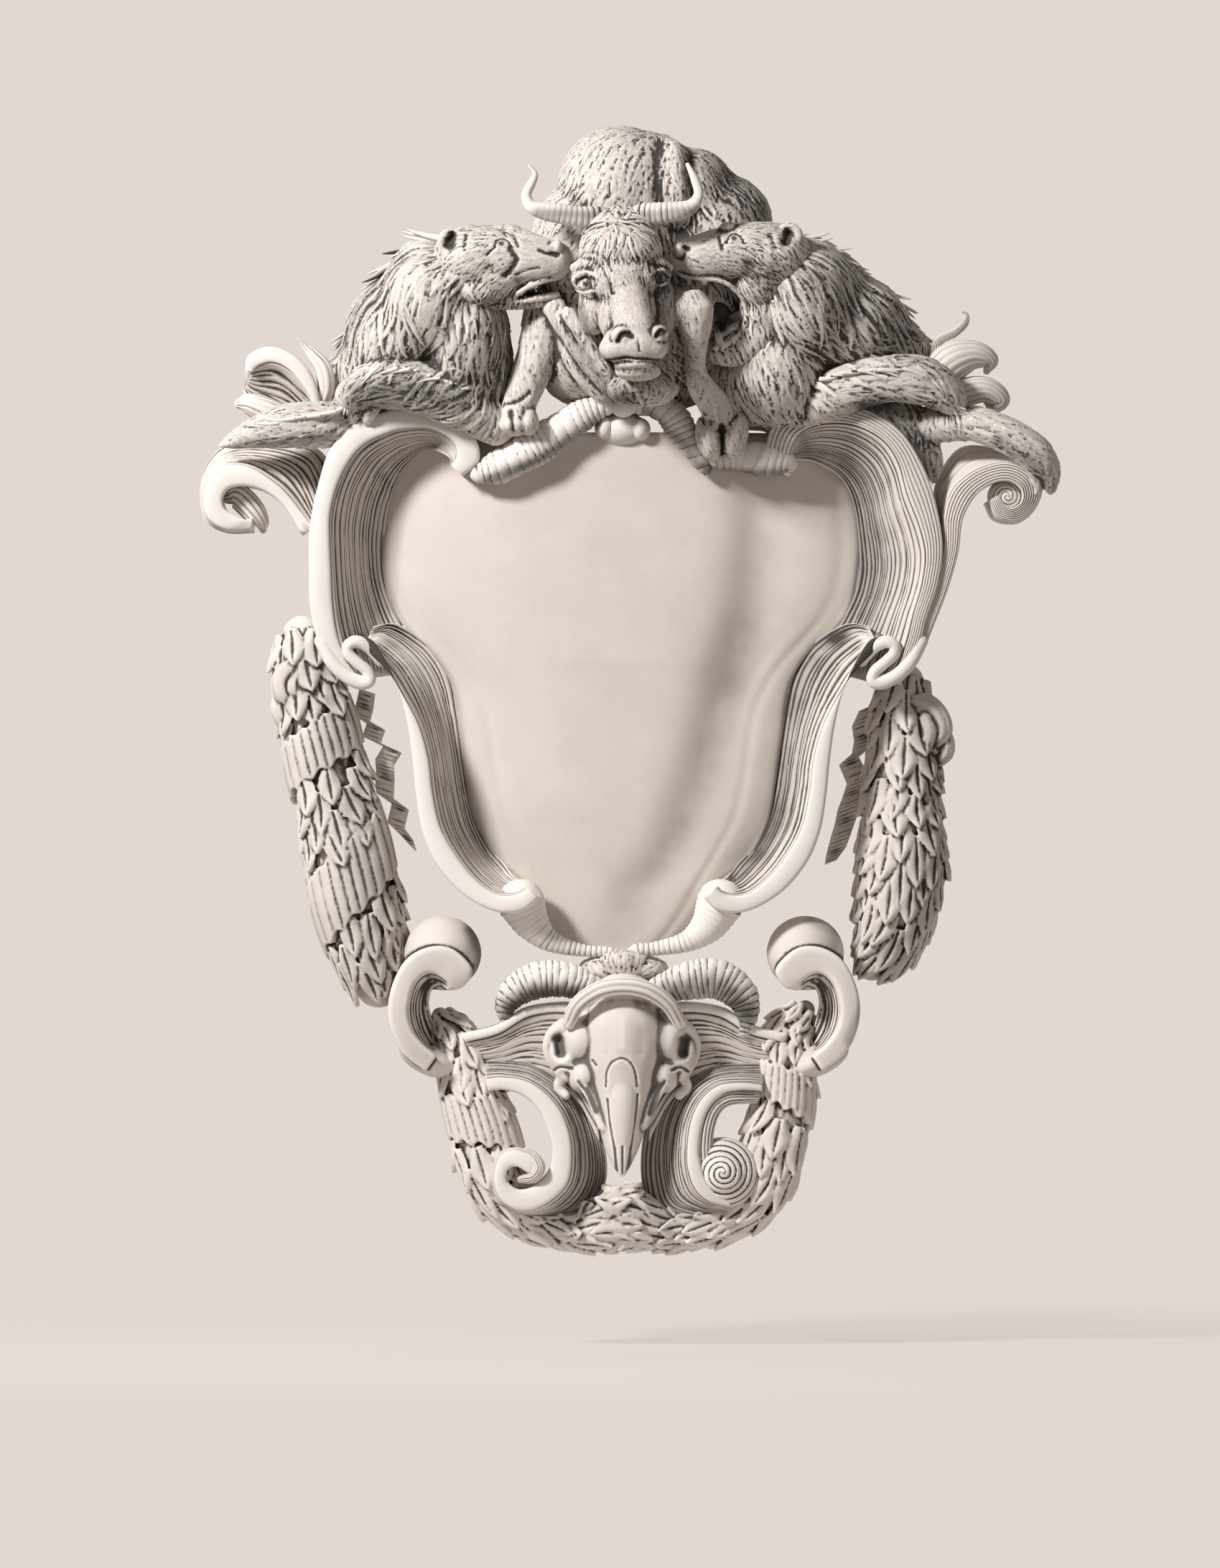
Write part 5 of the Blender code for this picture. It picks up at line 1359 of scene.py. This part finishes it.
def lions():
    edges = ((LEFT_MANE_EDGE, 40, 64, 0.5, 1.0), (LEFT_ARM_EDGE, 90, 36, 0.5, 0.55))
    head = LEFT_LION_HEAD + [LEFT_LION_BRIDGE]
    small = LEFT_LION_FEATURES + LEFT_LION_TUBES
    lion(
        "left_lion", LEFT_LION_BODY, LEFT_LION_LIMBS, LEFT_LION_FUR, head, small, LEFT_LION_EAR,
        LEFT_LION_FACE_FUR, LEFT_LION_STROKES, LEFT_LION_MOUTH, LEFT_LION_HOLES, LEFT_LION_SHADE,
        edges, 11,
    )
    edges = ((RIGHT_MANE_EDGE, 36, 64, 0.5, 1.0), (RIGHT_ARM_EDGE, 80, 36, 0.5, 0.55))
    edges += ((RIGHT_TUFT_EDGE, 30, 50, 0.6, 0.8),)
    head = RIGHT_LION_HEAD + [RIGHT_LION_BRIDGE, RIGHT_LION_JAW]
    small = RIGHT_LION_FEATURES + RIGHT_LION_TUBES
    lion(
        "right_lion", RIGHT_LION_BODY, RIGHT_LION_LIMBS, RIGHT_LION_FUR, head, small, RIGHT_LION_EAR,
        RIGHT_LION_FACE_FUR, RIGHT_LION_STROKES, RIGHT_LION_MOUTH, RIGHT_LION_HOLES, RIGHT_LION_SHADE,
        edges, 21,
    )


# The skull, its horns and headband

SKULL_FORMS = [
    [
        (868, 1400, 90, 50), (868, 1428, 93, 60), (868, 1462, 96, 59), (868, 1495, 98, 52),
        (868, 1530, 104, 42), (867, 1565, 108, 34), (866, 1598, 112, 25), (866, 1622, 114, 14),
        (867, 1636, 114, 6),
    ],
    (790, 1464, 84, 30, 38, 36), (944, 1464, 84, 28, 38, 36), (810, 1448, 88, 32, 36, 46),
    (928, 1448, 88, 32, 36, 46), (814, 1496, 90, 24, 28, 38, 20), (922, 1496, 90, 24, 28, 38, -20),
]
SKULL_FEATURES = [
    [
        (866, 1486, 122, 20), (867, 1530, 126, 24), (867, 1570, 126, 20), (867, 1605, 122, 13),
        (867, 1630, 118, 6),
    ],
    [(812, 1508, 112, 8), (828, 1534, 118, 9), (840, 1568, 122, 8)],
    [(924, 1508, 112, 8), (908, 1534, 118, 9), (896, 1566, 122, 8)],
    [
        (822, 1418, 108, 12), (804, 1426, 108, 13), (784, 1430, 102, 12), (769, 1442, 95, 10),
        (765, 1459, 90, 10), (772, 1478, 90, 11), (790, 1496, 94, 13),
    ],
    [
        (914, 1418, 108, 12), (932, 1426, 108, 13), (950, 1430, 102, 12), (963, 1442, 95, 10),
        (967, 1459, 90, 10), (961, 1478, 90, 11), (946, 1496, 94, 13),
    ],
    [(800, 1440, 104, 9), (798, 1462, 106, 10), (806, 1488, 106, 10)],
    [(935, 1440, 104, 9), (936, 1462, 106, 10), (929, 1488, 106, 10)],
    [(784, 1500, 92, 9), (778, 1514, 88, 8), (788, 1526, 92, 7)],
    [(950, 1500, 92, 9), (956, 1514, 88, 8), (946, 1526, 92, 7)],
]
# Lines of painted shade in the eye sockets, nostrils and creases and down the skull's right side, turned
# from the light: points, width, least distance out and, for some, how much
SKULL_HOLES = [
    ([(776, 1448), (781, 1464)], 8, 50), ([(954, 1448), (951, 1464)], 8, 50),
    ([(856, 1596), (858, 1630)], 1.8, 90), ([(878, 1596), (876, 1630)], 1.8, 90),
    ([(818, 1516), (832, 1548)], 4, 60), ([(918, 1512), (906, 1548)], 4, 60),
    ([(926, 1404), (920, 1480), (902, 1560), (882, 1620)], 8, 50, 0.4),
    ([(890, 1402), (914, 1416)], 9, 50, 0.5),
]
SKULL_STROKES = [
    ([(779, 1449), (781, 1466)], 7.5, -20, 60), ([(952, 1449), (951, 1466)], 7.5, -20, 60),
    ([(826, 1400), (868, 1392), (910, 1400)], 9, -2.0, 110), ([(868, 1420), (868, 1456)], 8, 1.6, 120),
    ([(838, 1436), (842, 1462)], 9, -1.6, 120), ([(897, 1436), (893, 1462)], 9, -1.6, 120),
    (
        [(844, 1512), (845, 1492), (852, 1479), (864, 1473), (876, 1477), (884, 1491), (887, 1512)], 1.8,
        -1.4, 120,
    ),
    ([(846, 1530), (850, 1566), (856, 1600), (860, 1632)], 1.8, -2.6, 110),
    ([(888, 1524), (884, 1560), (878, 1600), (872, 1632)], 1.8, -2.6, 110),
    ([(867, 1596), (867, 1634)], 1.6, -2.4, 120), ([(826, 1476), (830, 1482)], 2.4, -2.4, 120),
    ([(770, 1492), (780, 1486), (796, 1488)], 2.4, -3, 90),
    ([(806, 1506), (818, 1524), (828, 1548)], 3, -2.6, 90),
    ([(925, 1506), (914, 1526), (905, 1552)], 3, -2.6, 90),
    ([(958, 1492), (948, 1486), (936, 1490)], 2.4, -3, 90),
]
HEADBAND = [
    (792, 1424, 128, 9), (806, 1398, 142, 11), (834, 1379, 152, 12), (868, 1373, 155, 12),
    (902, 1379, 152, 12), (930, 1398, 142, 11), (946, 1424, 128, 9),
]
HORN_LEFT = [
    (838, 1392, 100, 20), (815, 1374, 104, 22), (785, 1364, 106, 25), (750, 1365, 102, 26),
    (718, 1381, 95, 22), (704, 1403, 88, 15), (704, 1424, 82, 7),
]
HORN_RIGHT = [
    (900, 1392, 100, 20), (928, 1376, 104, 22), (960, 1366, 106, 27), (1000, 1364, 102, 28),
    (1032, 1386, 96, 24), (1041, 1414, 90, 16), (1037, 1438, 84, 8),
]
SKULL_TUFT = [
    (868, 1350, 56, 62, 22, 58), (868, 1340, 92, 34, 16, 26), (840, 1352, 84, 26, 14, 26),
    (898, 1350, 84, 26, 14, 26),
]


TUFT_FUR = [
    (868, 1340, 100, 0, -1, 0.2, 22, 7, 3.5),
    (830, 1350, 100, -1, -0.3, 0, 24, 7, 3.5),
    (906, 1350, 100, 1, -0.3, 0, 24, 7, 3.5),
]
HORN_SHADE = [
    ([(712, 1404), (745, 1384), (800, 1384)], 18, 0, 0.7),
    ([(1036, 1410), (1000, 1372), (930, 1380)], 22, 0, 0.6),
]


def ram():
    masses = shapes_of(SKULL_FORMS)
    features = [tube(path) for path in SKULL_FEATURES]
    mesh = skin(masses, "ram_skull", 1.7, 20, features, 10, sawn=70)
    carved(mesh, SKULL_STROKES)
    paint_soot_and_shade(mesh, shade_lines=SKULL_HOLES)
    finish_piece(mesh, "ram_skull", rubbed_stone, KEPT_PLAIN)

    def folded(length, angle):
        return 0.8 * np.cos(angle * 7) + 0 * length

    mesh = joined([tube(HEADBAND, sides=40, flat=0.8, count=120, surface=folded)], "headband")
    paint_soot_and_shade(mesh)
    finish_piece(mesh, "headband", fluted_stone)

    def ringed(length, angle):
        wave = length / 0.0085 + 0.35 * np.sin(angle) + 0.15 * np.sin(length * 160)
        return 1.9 * (np.abs(np.sin(math.pi * wave)) ** 0.6 - 0.8) + 0.5 * np.sin(angle * 5 + length * 300)

    horns = [tube(path, sides=54, count=260, surface=ringed) for path in (HORN_LEFT, HORN_RIGHT)]
    mesh = joined(horns, "ram_horns")
    paint_soot_and_shade(mesh, shade_by_depth=(80, 135, 0.3), shade_lines=HORN_SHADE)
    finish_piece(mesh, "ram_horns", fluted_stone)
    mesh = skin([ball(*form) for form in SKULL_TUFT], "ram_tuft", 2.0, 3)
    height, lock = combed(mesh, TUFT_FUR, 9, 5.5)
    grow(mesh, height)
    note(mesh, "lock", lock)
    paint_soot_and_shade(mesh)
    finish_piece(mesh, "ram_tuft", furred_stone)


# The crest's rolls and curls

ROLLS = [
    [
        (668, 660, 108, 14), (700, 648, 110, 24), (745, 622, 110, 27), (790, 592, 110, 24),
        (828, 570, 110, 18), (862, 560, 110, 14),
    ],
    [
        (872, 560, 110, 14), (905, 562, 110, 18), (935, 578, 110, 22), (955, 612, 110, 18),
        (972, 640, 110, 13), (984, 656, 108, 6),
    ],
    [
        (1095, 645, 108, 16), (1062, 640, 110, 24), (1028, 636, 110, 22), (1000, 640, 110, 15),
        (988, 645, 106, 8),
    ],
]
ROLL_KNOT = (868, 566, 112, 18, 16, 22)
ROLL_TASSEL = [(866, 598, 80, 38, 24, 34), (842, 596, 96, 14, 16, 20), (892, 598, 96, 14, 16, 20)]
CURL_LEFT = [
    (341, 514, 352, 518, 338, 546, 104, 80),
    (346, 495, 360, 510, 350, 560, 108, 76),
    (372, 483, 378, 505, 372, 572, 112, 70),
    (400, 489, 398, 512, 392, 582, 112, 66),
    (425, 508, 416, 530, 412, 590, 110, 62),
    (441, 538, 431, 552, 428, 596, 106, 60),
    (447, 568, 438, 574, 440, 602, 100, 60),
]
CURL_LEFT_LOBE = [(410, 586, 80, 14), (372, 572, 88, 18), (346, 562, 90, 15), (334, 562, 86, 8)]
CURL_LEFT_LEAF = [
    (446, 566, 84, 8), (454, 540, 90, 12), (450, 514, 94, 13), (437, 496, 95, 10), (424, 481, 94, 5),
    (415, 470, 94, 1.5),
]
CURLS_RIGHT = [
    [
        (1300, 530, 100, 24), (1325, 505, 108, 28), (1355, 495, 110, 21), (1378, 502, 108, 13),
        (1374, 517, 104, 5),
    ],
    [
        (1312, 562, 100, 22), (1340, 548, 108, 21), (1372, 543, 110, 18), (1393, 556, 106, 14),
        (1384, 568, 102, 8), (1374, 560, 102, 5),
    ],
    [
        (1303, 492, 92, 9), (1308, 474, 96, 7), (1330, 463, 98, 6), (1344, 450, 98, 5), (1346, 438, 96, 3),
        (1340, 434, 96, 2),
    ],
]


ROLL_SHADE = [
    ([(680, 668), (750, 640), (830, 590)], 9, 0, 0.5),
    ([(900, 575), (950, 620), (985, 655), (1090, 660)], 10, 0, 0.5),
]


def crest():
    def turned(length, angle):
        wave = length / 0.0115 + angle / (2 * math.pi) + 0.5 * np.sin(length * 70)
        swell = 1.6 * np.sin(length * 85 + np.sin(angle))
        return 1.9 * (np.abs(np.sin(math.pi * wave)) ** 0.6 - 0.8) + swell

    rolls = [tube(path, sides=44, count=260, surface=turned) for path in ROLLS]
    mesh = joined(rolls + [ball(*ROLL_KNOT)] + [ball(*form) for form in ROLL_TASSEL], "crest_rolls")
    paint_soot_and_shade(mesh, shade_by_depth=(70, 150, 0.4), shade_lines=ROLL_SHADE)
    finish_piece(mesh, "crest_rolls", fluted_stone)
    curls = [strap(CURL_LEFT, 9, 90, seed=31, back=0.7, depth=3.6)]
    curls += [tube(CURL_LEFT_LOBE, sides=40, count=70, surface=grooved(12, 1.6))]
    curls += [tube(CURL_LEFT_LEAF, sides=32, count=50, surface=grooved(7, 1.8))]
    mesh = joined(curls, "crest_scroll_left")
    paint_soot_and_shade(mesh)
    finish_piece(mesh, "crest_scroll_left", fluted_stone)
    curls = [tube(path, sides=56, count=90, surface=grooved(14, 2.6)) for path in CURLS_RIGHT]
    mesh = joined(curls, "crest_scroll_right")
    paint_soot_and_shade(mesh, shade_by_depth=(60, 130, 0.25))
    finish_piece(mesh, "crest_scroll_right", fluted_stone)


# Garlands: (x, y, radius) along the middle of each; wraps are the middle, half length and slant of each
# ribbon

GARLAND_LEFT = [
    (420, 885, 30), (424, 940, 40), (442, 1015, 46), (460, 1095, 49), (480, 1180, 53), (497, 1260, 54),
    (513, 1330, 46), (532, 1392, 28),
]
GARLAND_RIGHT = [
    (1262, 950, 28), (1258, 1000, 38), (1258, 1065, 44), (1256, 1130, 49), (1256, 1200, 55),
    (1247, 1270, 50), (1230, 1322, 38), (1206, 1356, 16),
]
GARLAND_LOW_LEFT = [
    (612, 1416, 13), (634, 1452, 26), (650, 1505, 32), (666, 1555, 37), (680, 1608, 40), (702, 1664, 34),
    (745, 1698, 28), (800, 1711, 25), (835, 1706, 31), (868, 1699, 36), (905, 1698, 34),
]
GARLAND_LOW_RIGHT = [
    (1122, 1408, 15), (1098, 1450, 28), (1094, 1500, 32), (1088, 1550, 36), (1076, 1605, 38),
    (1062, 1650, 34), (1032, 1684, 28), (985, 1704, 25), (935, 1711, 24), (900, 1706, 31), (868, 1699, 36),
    (840, 1699, 34),
]
WRAPS_LEFT = [(0.30, 0.062, 0.055), (0.66, 0.085, 0.10)]
WRAPS_LOW_LEFT = [(0.33, 0.07, -0.05)]
WRAPS_LOW_RIGHT = [(0.235, 0.055, -0.04)]
LOW_LIFT = 24
LEAF_LENGTH = 58
LEAF_WIDTH = 34
LEAF_LIFT = 12
GARLAND_BITE = 4
LEAF_SECTION = [
    (-1.0, -0.1), (-0.8, 0.55), (-0.48, 0.95), (-0.2, 0.8), (0.0, -0.15), (0.2, 0.8), (0.48, 0.95),
    (0.8, 0.55), (1.0, -0.1), (0.0, -1.4),
]


def garland_line(path, lift=0.0, count=120):
    """The middle of a garland, its radius, and the two directions square to it, with how far along each
    point is."""
    s = smooth(path, count)
    radius = s[:, 2] * MM
    centre = np.array([place(x, y, r + lift - GARLAND_BITE) for x, y, r in s])
    side, outward = frame_along(centre)
    along = np.concatenate([[0], np.cumsum(np.linalg.norm(np.diff(centre, axis=0), axis=1))])
    return centre, radius, side, outward, along


def on_garland(line, at, angle, rise):
    """Points on a garland: so far along it, so far round from its outermost line, and so high above its
    core."""
    centre, radius, side, outward, along = line
    at, angle, rise = np.broadcast_arrays(at, angle, rise)
    columns = (*centre.T, *side.T, *outward.T, radius)
    values = np.stack([np.interp(at, along, column) for column in columns], axis=-1)
    beyond = np.maximum(at - along[-1], 0) - np.maximum(-at, 0)
    heading = np.cross(values[..., 6:9], values[..., 3:6])
    around = values[..., 3:6] * np.sin(angle)[..., None] + values[..., 6:9] * np.cos(angle)[..., None]
    return values[..., 0:3] + heading * -beyond[..., None] + (values[..., 9:10] + rise[..., None]) * around


def leaf(line, at, angle, dice):
    """A laurel leaf lying on a garland: a vein down its middle, and a pointed tip that stands out from the
    core."""
    core = np.interp(at, line[4], line[1])
    length = LEAF_LENGTH * MM * dice.uniform(0.85, 1.15) * min(1.0, 0.45 + core / 0.055)
    width = min(LEAF_WIDTH, 0.95 * core / MM) * MM * dice.uniform(0.85, 1.1)
    lift = LEAF_LIFT * MM * dice.uniform(0.7, 1.35)
    lean = dice.normal(0, 0.1)
    t = np.linspace(0, 1, 9)[:, None]
    half = width / 2 * np.sin(math.pi * np.minimum(1, 0.14 + 0.86 * t)) ** 0.75 + 0.0004
    crease, high = np.array(LEAF_SECTION).T
    body = 0.006 * (1 - 0.35 * t)
    rise = lift * (0.25 + 0.75 * t**1.3) + body * high * (1 - 0.5 * np.abs(crease))
    rise = rise + 0.0012 * np.sin(9 * t + 3 * crease)
    turn = (half * crease + lean * t * length) / max(core + 0.004, 0.014)
    return loft(on_garland(line, at + t * length, angle + turn, rise))


def wrap(line, middle, half, slant):
    """A pleated ribbon wound slantwise round a garland, ragged at its edges."""
    length = line[4][-1]
    angle = np.linspace(-2.3, 2.3, 190)
    start = (middle - half - slant * angle / 1.57) * length + 0.0022 * np.sin(angle * 19)
    end = (middle + half - slant * angle / 1.57) * length + 0.0034 * np.sin(angle * 13 + 1)
    pleat = LEAF_LIFT * 0.75 * MM + 0.0030 * np.abs(np.sin(angle * 12 + 0.9 * np.sin(angle * 3))) ** 0.6
    rows = [on_garland(line, start, angle, -0.006)]
    for t in np.linspace(0, 1, 7):
        high = pleat + 0.0016 * math.sin(3 * t)
        rows.append(on_garland(line, start + (end - start) * t, angle + 0.05 * t, high))
    rows += [on_garland(line, end, angle, -0.006)]
    return loft(np.stack(rows, axis=1))


def garland(path, wraps=(), lift=0.0, seed=1):
    """A laurel garland: a core, rows of overlapping leaves and its ribbons."""
    dice = np.random.default_rng(seed)
    line = garland_line(path, lift)
    centre, radius, _, _, along = line
    core = []
    for (x, y, z), r in zip(centre[::6], radius[::6]):
        core.append((x / MM + MIDDLE, ORIGIN_DOWN - z / MM, -y / MM, r / MM - 1))
    forms = [tube(core, sides=20, count=60)]
    row_gap = LEAF_LENGTH * MM * 0.5
    at = -0.1 * row_gap
    row = 0
    while at < along[-1] - LEAF_LENGTH * MM * 0.75:
        row += 1
        core_radius = np.interp(at, along, radius)
        width = min(LEAF_WIDTH, 0.95 * core_radius / MM) * MM
        spread = width * 0.92 / max(core_radius, 0.015)
        around = int(1.9 / spread)
        for k in range(-around, around + 1):
            angle = (k + 0.5 * (row % 2)) * spread + dice.normal(0, 0.06)
            share = at / along[-1]
            if any(m - h - 0.055 < share + s * angle / 1.57 < m + h - 0.02 for m, h, s in wraps):
                continue
            forms.append(leaf(line, at + dice.normal(0, 0.003), angle, dice))
        at += row_gap * min(1.0, 0.5 + core_radius / 0.08)
    return forms + [wrap(line, *band) for band in wraps]


BUNCHES = [
    [(428, 915, 60, 12), (405, 930, 70, 15), (392, 948, 72, 15), (396, 968, 72, 14), (416, 978, 66, 12)],
    [(398, 962, 60, 12), (388, 985, 62, 13), (396, 1008, 60, 11), (408, 1028, 52, 5)],
    [(412, 940, 78, 9), (408, 958, 80, 10), (414, 974, 78, 8)],
    [
        (1272, 978, 62, 12), (1292, 982, 70, 16), (1308, 1000, 72, 16), (1312, 1020, 70, 15),
        (1298, 1036, 64, 11),
    ],
    [(1296, 1010, 66, 13), (1316, 1026, 64, 12), (1318, 1048, 60, 12), (1302, 1064, 54, 9)],
    [(1290, 1000, 80, 9), (1296, 1020, 80, 10), (1290, 1044, 70, 10), (1296, 1062, 58, 6)],
]
RIBBON_LEFT = [
    (510, 962, 11), (506, 984, 12), (502, 1000, 12), (522, 1012, 13), (516, 1030, 13), (545, 1044, 13),
    (534, 1062, 13), (535, 1080, 13), (534, 1108, 13), (556, 1124, 12), (550, 1150, 12), (566, 1168, 8),
    (578, 1186, 1),
]
RIBBON_RIGHT = [
    (1236, 974, 12), (1212, 984, 14), (1202, 1006, 14), (1205, 1026, 14), (1202, 1044, 14),
    (1184, 1060, 14), (1196, 1086, 15), (1190, 1104, 15), (1184, 1122, 16), (1180, 1142, 16),
    (1172, 1166, 15), (1166, 1186, 14), (1158, 1202, 8),
]


def streamer(points, slope):
    """A ribbon end in flat, slanted folds against the wall, with pleats across it."""
    folds = len(points) - 1
    t = np.linspace(0, folds, 18 * folds + 1)
    x, y, half = (np.interp(t, range(folds + 1), column) for column in np.transpose(points))
    away = 10 + 9 * np.abs(t % 2 - 1)
    rows = []
    for u in np.linspace(-1, 1, 9):
        out = away + 4 * u * np.where(t % 2 < 1, 1, -1) * np.sin(math.pi * (t % 1))
        out = out + 1.7 * np.abs(np.sin(math.pi * 3.5 * t)) ** 0.6
        fold = [place(a + u * w, b + u * w * slope, o) for a, b, w, o in zip(x, y, half, out)]
        rows.append(np.array(fold))
    for u in (1, -1):
        rows.append(np.array([place(a + u * w, b + u * w * slope, 0.5) for a, b, w in zip(x, y, half)]))
    return loft(np.stack(rows, axis=1))


GARLAND_SHADE = [
    ([(1290, 960), (1300, 1200), (1240, 1360)], 40, 0, 0.36),
    ([(440, 930), (500, 1150), (540, 1380)], 60, 0, 0.38),
    ([(760, 1690), (868, 1690), (980, 1690)], 18, 0, 0.36),
]


def garlands():
    bunches = [tube(path, sides=28, count=50, surface=grooved(8, 1.8)) for path in BUNCHES]
    low_left = garland(GARLAND_LOW_LEFT, WRAPS_LOW_LEFT, LOW_LIFT, 45)
    sets = [
        ("garland_left", garland(GARLAND_LEFT, WRAPS_LEFT, seed=41) + bunches[:3]),
        ("garland_right", garland(GARLAND_RIGHT, seed=43) + bunches[3:]),
        ("garland_low", low_left + garland(GARLAND_LOW_RIGHT, WRAPS_LOW_RIGHT, LOW_LIFT, 47)),
    ]
    for name, forms in sets:
        mesh = skin(forms, name, 1.8, 0)
        paint_soot_and_shade(mesh, 3, 14, shade_lines=GARLAND_SHADE)
        finish_piece(mesh, name, leafy_stone, KEPT_LEAVES)
    mesh = joined([streamer(RIBBON_LEFT, 0.35), streamer(RIBBON_RIGHT, -0.4)], "ribbons", back=0.3)
    paint_soot_and_shade(mesh, shade_by_depth=(8, 30, 0.3))
    finish_piece(mesh, "ribbons", fluted_stone)


strapwork()
shield()
foot()
ram()
crest()
garlands()
bull()
lions()

# Floor, lights and camera

PAPER = "#E2D8D2"
FLOOR_DROP = 0.13
FLOOR_RADIUS = 2.4
FLOOR_FADES_FROM = 1.0
FLOOR_FADES_TO = 2.2
LIGHTS_AIM = (0, -0.1, -0.1)
# Name, place in metres, power in watts and width in metres of each light
LIGHTS = [
    ("key", (-3.1, -3.1, 2.7), 320, 0.8),
    ("fill", (3.2, -3.4, 0.4), 15, 3.0),
    ("back_left", (-2.5, 3.0, 2.0), 40, 2.0),
    ("back_right", (2.5, 3.0, 1.0), 30, 2.0),
]
FLOOR_COLOUR = "#6E6A66"
CAMERA_FOCAL = 300
CAMERA_SENSOR = 36
CAMERA_AIM_OUT = 0.10
AMBIENT = 0.25


def studio():
    world = bpy.data.worlds.new("studio")
    bpy.context.scene.world = world
    world.use_nodes = True
    tree = world.node_tree
    seen = tree.nodes["Background"]
    seen.inputs["Color"].default_value = linear(PAPER)
    ambient = add(tree, "ShaderNodeBackground", Color=linear(PAPER), Strength=AMBIENT)
    ray = add(tree, "ShaderNodeLightPath").outputs["Is Camera Ray"]
    both = add(tree, "ShaderNodeMixShader", [(0, ray), (1, ambient.outputs[0]), (2, seen.outputs[0])])
    tree.links.new(both.outputs[0], tree.nodes["World Output"].inputs["Surface"])
    floor_shape = bmesh.new()
    bmesh.ops.create_circle(floor_shape, cap_ends=True, segments=96, radius=FLOOR_RADIUS)
    bmesh.ops.translate(floor_shape, verts=floor_shape.verts, vec=(0, -0.2, cad_box[0][2] - FLOOR_DROP))
    mesh = bpy.data.meshes.new("floor")
    floor_shape.to_mesh(mesh)
    floor_shape.free()
    floor = bpy.data.objects.new("floor", mesh)
    bpy.context.scene.collection.objects.link(floor)
    material = bpy.data.materials.new("pale_floor")
    material.use_nodes = True
    tree = material.node_tree
    shader = tree.nodes["Principled BSDF"]
    shader.inputs["Base Color"].default_value = linear(FLOOR_COLOUR)
    shader.inputs["Emission Color"].default_value = linear(PAPER)
    shader.inputs["Emission Strength"].default_value = 0.75
    shader.inputs["Roughness"].default_value = 0.9
    where = add(tree, "ShaderNodeTexCoord").outputs["Object"]
    reach = add(tree, "ShaderNodeVectorMath", [(0, where)], operation="LENGTH")
    fade = ranged(tree, reach.outputs["Value"], FLOOR_FADES_FROM, FLOOR_FADES_TO, 1.0, 0.0)
    fade.interpolation_type = "SMOOTHSTEP"
    tree.links.new(fade.outputs[0], shader.inputs["Alpha"])
    mesh.materials.append(material)
    for name, spot, power, size in LIGHTS:
        lamp = bpy.data.lights.new(name, "AREA")
        lamp.energy = power
        lamp.size = size
        light = bpy.data.objects.new(name, lamp)
        light.location = spot
        heading = Vector(LIGHTS_AIM) - Vector(spot)
        light.rotation_euler = heading.to_track_quat("-Z", "Y").to_euler()
        bpy.context.scene.collection.objects.link(light)


def camera():
    """Straight at the wall, so far back that the picture's height is what the lens sees at the carving's
    depth."""
    width, height = (n * MM for n in PICTURE)
    lens = bpy.data.cameras.new("camera")
    lens.lens = CAMERA_FOCAL
    lens.sensor_width = CAMERA_SENSOR
    away = height * CAMERA_FOCAL / CAMERA_SENSOR
    view = bpy.data.objects.new("camera", lens)
    view.location = (width / 2 - MIDDLE * MM, -away - CAMERA_AIM_OUT, ORIGIN_DOWN * MM - height / 2)
    view.rotation_euler = (math.pi / 2, 0, 0)
    bpy.context.scene.collection.objects.link(view)
    bpy.context.scene.camera = view
    bpy.context.scene.view_settings.view_transform = "Standard"


studio()
camera()
